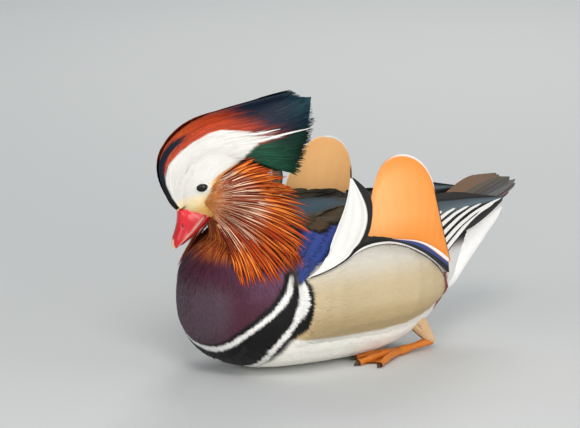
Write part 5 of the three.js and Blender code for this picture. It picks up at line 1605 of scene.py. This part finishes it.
def eye_place(side):
    """The middle of the ball, in the head's frame: its face meets the skin at the open eye's corners."""
    long = np.array([EYE_COS, EYE_SIN]) * EYE_SIZE[0]
    short = np.array([-EYE_SIN, EYE_COS]) * EYE_SIZE[1]
    corners = []
    for f, h in (EYE + away for away in (long, -long, short, -short)):
        corners.append((f, face_y(f, h, side), h))
    corners = np.array(corners)
    out = unit(np.cross(corners[0] - corners[1], corners[2] - corners[3]))
    half = np.linalg.norm(corners[0] - corners[1]) / 2
    drop = math.sqrt(EYE_BALL["radius"] ** 2 - half ** 2) + EYE_BALL["sink"]
    return corners.mean(0) - out * np.sign(out[1]) * drop


def add_lid(coat, side, middle):
    """One side's eyelids: a ring from the open eye's outline to the skin, dark along its inner edge."""
    share, angle = np.broadcast_arrays(np.linspace(0, 1, 10)[:, None], circle(60)[None, :])
    along, over = (size * np.sign(part) * np.abs(part) ** (2 / EYE_POWER)
                   for size, part in zip(EYE_SIZE, (np.cos(angle), np.sin(angle))))
    grow = 1 + LID_WIDTH * share
    f = EYE[0] + grow * (along * EYE_COS - over * EYE_SIN)
    h = EYE[1] + grow * (along * EYE_SIN + over * EYE_COS)
    from_middle = (f - middle[0]) ** 2 + (h - middle[2]) ** 2
    on_ball = middle[1] + np.sqrt(np.maximum(EYE_BALL["radius"] ** 2 - from_middle, 0.3))
    outward = ramp(0.0, 0.9, share)
    y = (on_ball + 0.15) * (1 - outward) + (face_reach[side].at(f, h) + 0.1) * outward + 0.4 * hump(share)
    verts = on_head(f, side * y, h)
    coat.take(verts, grid_quads(*f.shape, True, side < 0), blend("black", "face", ramp(0.28, 0.4, share)),
              point(share * 3, angle * 4, 0), head_uv(verts))


def eyes():
    wet = smooth_material("eye", {"Roughness": 0.12, "Specular IOR Level": 0.3, "Coat Weight": 0.1,
                                  "Coat Roughness": 0.03})
    lids = Coat()
    for side, name in SIDES.items():
        place = eye_place(side)
        outward = head_way(0, side, 0)

        def tint_of(way, outward=outward):
            return blend("iris", "pupil", ramp(0.6, 0.75, way @ outward))
        middle = on_head(place[0], side * place[1], place[2])
        obj = ball("eye_" + name + "_ball", middle, EYE_BALL["radius"], tint_of)
        finish_piece(obj, wet, ["eye_" + name])
        add_lid(lids, side, place)
    lids.piece("eye_lids", coat_material("lid_skin", depth=0.05, speck=0.0), ["eye_left", "eye_right"],
               "face_feather")


eyes()


# Legs and feet

FOOT_ROOT = (54, 40)
HEEL = (88, 37, 6.5)
TOES = [(17, 62, 2.2), (8, 47, 2.5), (18, 32, 2.2), (70, 30, 1.5)]  # x, y and radius of each tip
TOE_HEIGHT = 2.0
CLAW = 5
LEG_TOP = (70, 36, 26)
LEG_RADII = (10.5, 4.0)
FLOOR = 0.05  # nothing goes lower
TUBE_COLS = 16


def tube(path, radii):
    """Rings round a path of points, kept above the floor, as rows of points."""
    ahead = unit(np.gradient(path, axis=0))
    across = unit(np.cross(ahead, np.array([0, 0, 1.0])))
    up = np.cross(across, ahead)
    angle = circle(TUBE_COLS)[None, :, None]
    ways = across[:, None] * np.cos(angle) + up[:, None] * np.sin(angle)
    rings = path[:, None] + radii[:, None, None] * ways
    rings[..., 2] = np.maximum(rings[..., 2], FLOOR)
    return rings


def foot_material():
    """Orange skin in rows of small scales."""
    made = Finish("foot_skin", {"Roughness": 0.45})
    scales = made.add("TexVoronoi")
    scales.feature = "DISTANCE_TO_EDGE"
    made.put(scales, {"Scale": 750, "Vector": made.place()})
    seam = made.math("MINIMUM", made.math("MULTIPLY", scales.outputs["Distance"], 6), 1.0)
    made.put(made.shader, {"Base Color": made.tint(made.math("MULTIPLY_ADD", seam, 0.3, 0.72))})
    made.bump(seam, 0.5, 0.0003)
    return made.material


def foot(side, material):
    """Shank, three webbed toes and a small hind toe, with claws."""
    parts = []
    root = np.array([*FOOT_ROOT, 3.2])
    s = np.linspace(0, 1, 24)
    shank = np.array(HEEL) * (1 - s[:, None]) + root * s[:, None]
    parts.append((tube(shank, 3.1 + 0.5 * np.cos(6.28 * s)), "foot"))
    tips = [np.array([x, y, TOE_HEIGHT]) for x, y, _ in TOES]
    c = np.linspace(0, 1, 8)
    for tip, (_, _, radius) in zip(tips, TOES):
        line = root * (1 - s[:, None]) + tip * s[:, None]
        line[:, 2] += 1.2 * hump(s)
        parts.append((tube(line, (2.9 * (1 - s) + radius * s) * (1 + 0.1 * np.cos(18.8 * s))), "foot"))
        claw = tip + unit((tip - root) * np.array([1, 1, 0])) * CLAW * c[:, None]
        claw[:, 2] -= 0.9 * c ** 2
        parts.append((tube(claw, radius * 0.75 * np.sqrt(1.001 - c)), "claw"))
    u = np.linspace(0, 1, 20)[:, None, None]
    w = np.linspace(0, 1, 14)[None, :, None]
    for one, other in zip(tips[:2], tips[1:3]):
        edge = one * (1 - w) + other * w
        reach = 0.94 - 0.16 * hump(w)
        for height in (1.2, 2.0):
            sheet = root * (1 - u * reach) + edge * u * reach
            sheet[..., 2] = height - 0.3 * u[..., 0]
            parts.append((sheet, "web"))
    verts, quads, tint, count = [], [], [], 0
    for points, colour in parts:
        verts.append(points.reshape(-1, 3))
        quads.append(grid_quads(*points.shape[:2], colour != "web") + count)
        tint.append(np.broadcast_to(TINT[colour], verts[-1].shape))
        count += len(verts[-1])
    name = SIDES[side]
    obj = new_mesh("foot_skin_" + name, np.concatenate(verts) * np.array([1, side, 1]), np.concatenate(quads),
                   np.concatenate(tint))
    finish_piece(obj, material, ["foot_" + name])


def leg(side, coat):
    """The feathered thigh, from the belly down to the heel."""
    rng = np.random.default_rng(80 + side)
    count = 420
    mirror = np.array([1, side, 1])
    top, heel = np.array(LEG_TOP), np.array(HEEL) + np.array([-2, 0, 2])
    start = rng.uniform(-0.1, 0.85, (count, 1))
    turn = rng.uniform(0, 2 * math.pi, (count, 1))
    s = np.linspace(0, 1, len(BROAD_OUTLINE))[None, :]
    t = start + 0.3 * s
    radius = LEG_RADII[0] + (LEG_RADII[1] - LEG_RADII[0]) * t + 0.5 * grown(s, 3)
    ring = point(np.cos(turn) + 0 * t, np.sin(turn), 0)
    spine = (top + (heel - top) * t[..., None] + radius[..., None] * ring) * mirror
    half = 1.6 * BROAD_OUTLINE * rng.uniform(0.8, 1.2, (count, 1))
    coat.add(spine, ring * mirror, half, "leg", body_uv(spine[:, 0]), 3, 0.15)


def legs():
    material = foot_material()
    coat = Coat()
    for side in SIDES:
        foot(side, material)
        leg(side, coat)
    coat.piece("leg_coat", coat_material("leg_feather", depth=0.1), ["leg_left", "leg_right"], "leg_feather")


legs()


# Camera, floor and light

def camera():
    azimuth, elevation = math.radians(CAMERA["azimuth"]), math.radians(CAMERA["elevation"])
    right = np.array([math.cos(azimuth), math.sin(azimuth), 0])
    level = math.cos(elevation)
    back = np.array([math.sin(azimuth) * level, -math.cos(azimuth) * level, math.sin(elevation)])
    aim = right * CAMERA["aim_right"] + np.cross(back, right) * CAMERA["aim_up"]
    data = bpy.data.cameras.new("camera")
    data.sensor_width = 36
    data.lens = 36 * CAMERA["distance"] / CAMERA["across"]
    data.clip_end = 100
    obj = linked("camera", data)
    obj.location = (aim + back * CAMERA["distance"]) * MM
    obj.rotation_euler = Vector(-back).to_track_quat("-Z", "Y").to_euler()
    bpy.context.scene.camera = obj


camera()
bpy.context.scene.view_settings.view_transform = "Standard"


def area_light(name, place, aim_height, size, power, tint):
    """A round light in metres and watts, turned to a point above the middle of the floor."""
    data = bpy.data.lights.new(name, "AREA")
    data.shape = "DISK"
    data.size = size
    data.energy = power
    data.color = tint
    obj = linked(name, data)
    obj.location = place
    obj.rotation_euler = (Vector((0, 0, aim_height)) - Vector(place)).to_track_quat("-Z", "Y").to_euler()
    return obj


FLOOR_HALF = 6  # metres


def studio():
    mesh = bpy.data.meshes.new("floor")
    corners = [(x * FLOOR_HALF, y * FLOOR_HALF, 0) for x, y in ((-1, -1), (1, -1), (1, 1), (-1, 1))]
    mesh.from_pydata(corners, [], [(0, 1, 2, 3)])
    floor = linked("floor", mesh)
    matt = Finish("floor", {"Base Color": (0.62, 0.63, 0.62, 1), "Roughness": 0.8})
    mesh.materials.append(matt.material)
    world = bpy.data.worlds.new("studio")
    bpy.context.scene.world = world
    world.use_nodes = True
    world.node_tree.nodes["Background"].inputs["Color"].default_value = (0.78, 0.83, 0.9, 1)
    world.node_tree.nodes["Background"].inputs["Strength"].default_value = 0.42
    warm = (1, 0.98, 0.95)
    lights = [
        area_light("key", (-0.9, -1.3, 1.7), 0.08, 0.9, 17, (1, 0.97, 0.93)),
        area_light("front", (-0.9, -1.7, 0.4), 0.1, 1.3, 20, warm),
        area_light("side", (0.9, -1.6, 0.3), 0.1, 1.2, 10, warm),
        area_light("fill", (-1.8, -0.3, 0.7), 0.08, 1.4, 9, (0.94, 0.97, 1)),
        area_light("rim", (1.2, 1.2, 1.3), 0.1, 0.9, 13, warm),
    ]


studio()
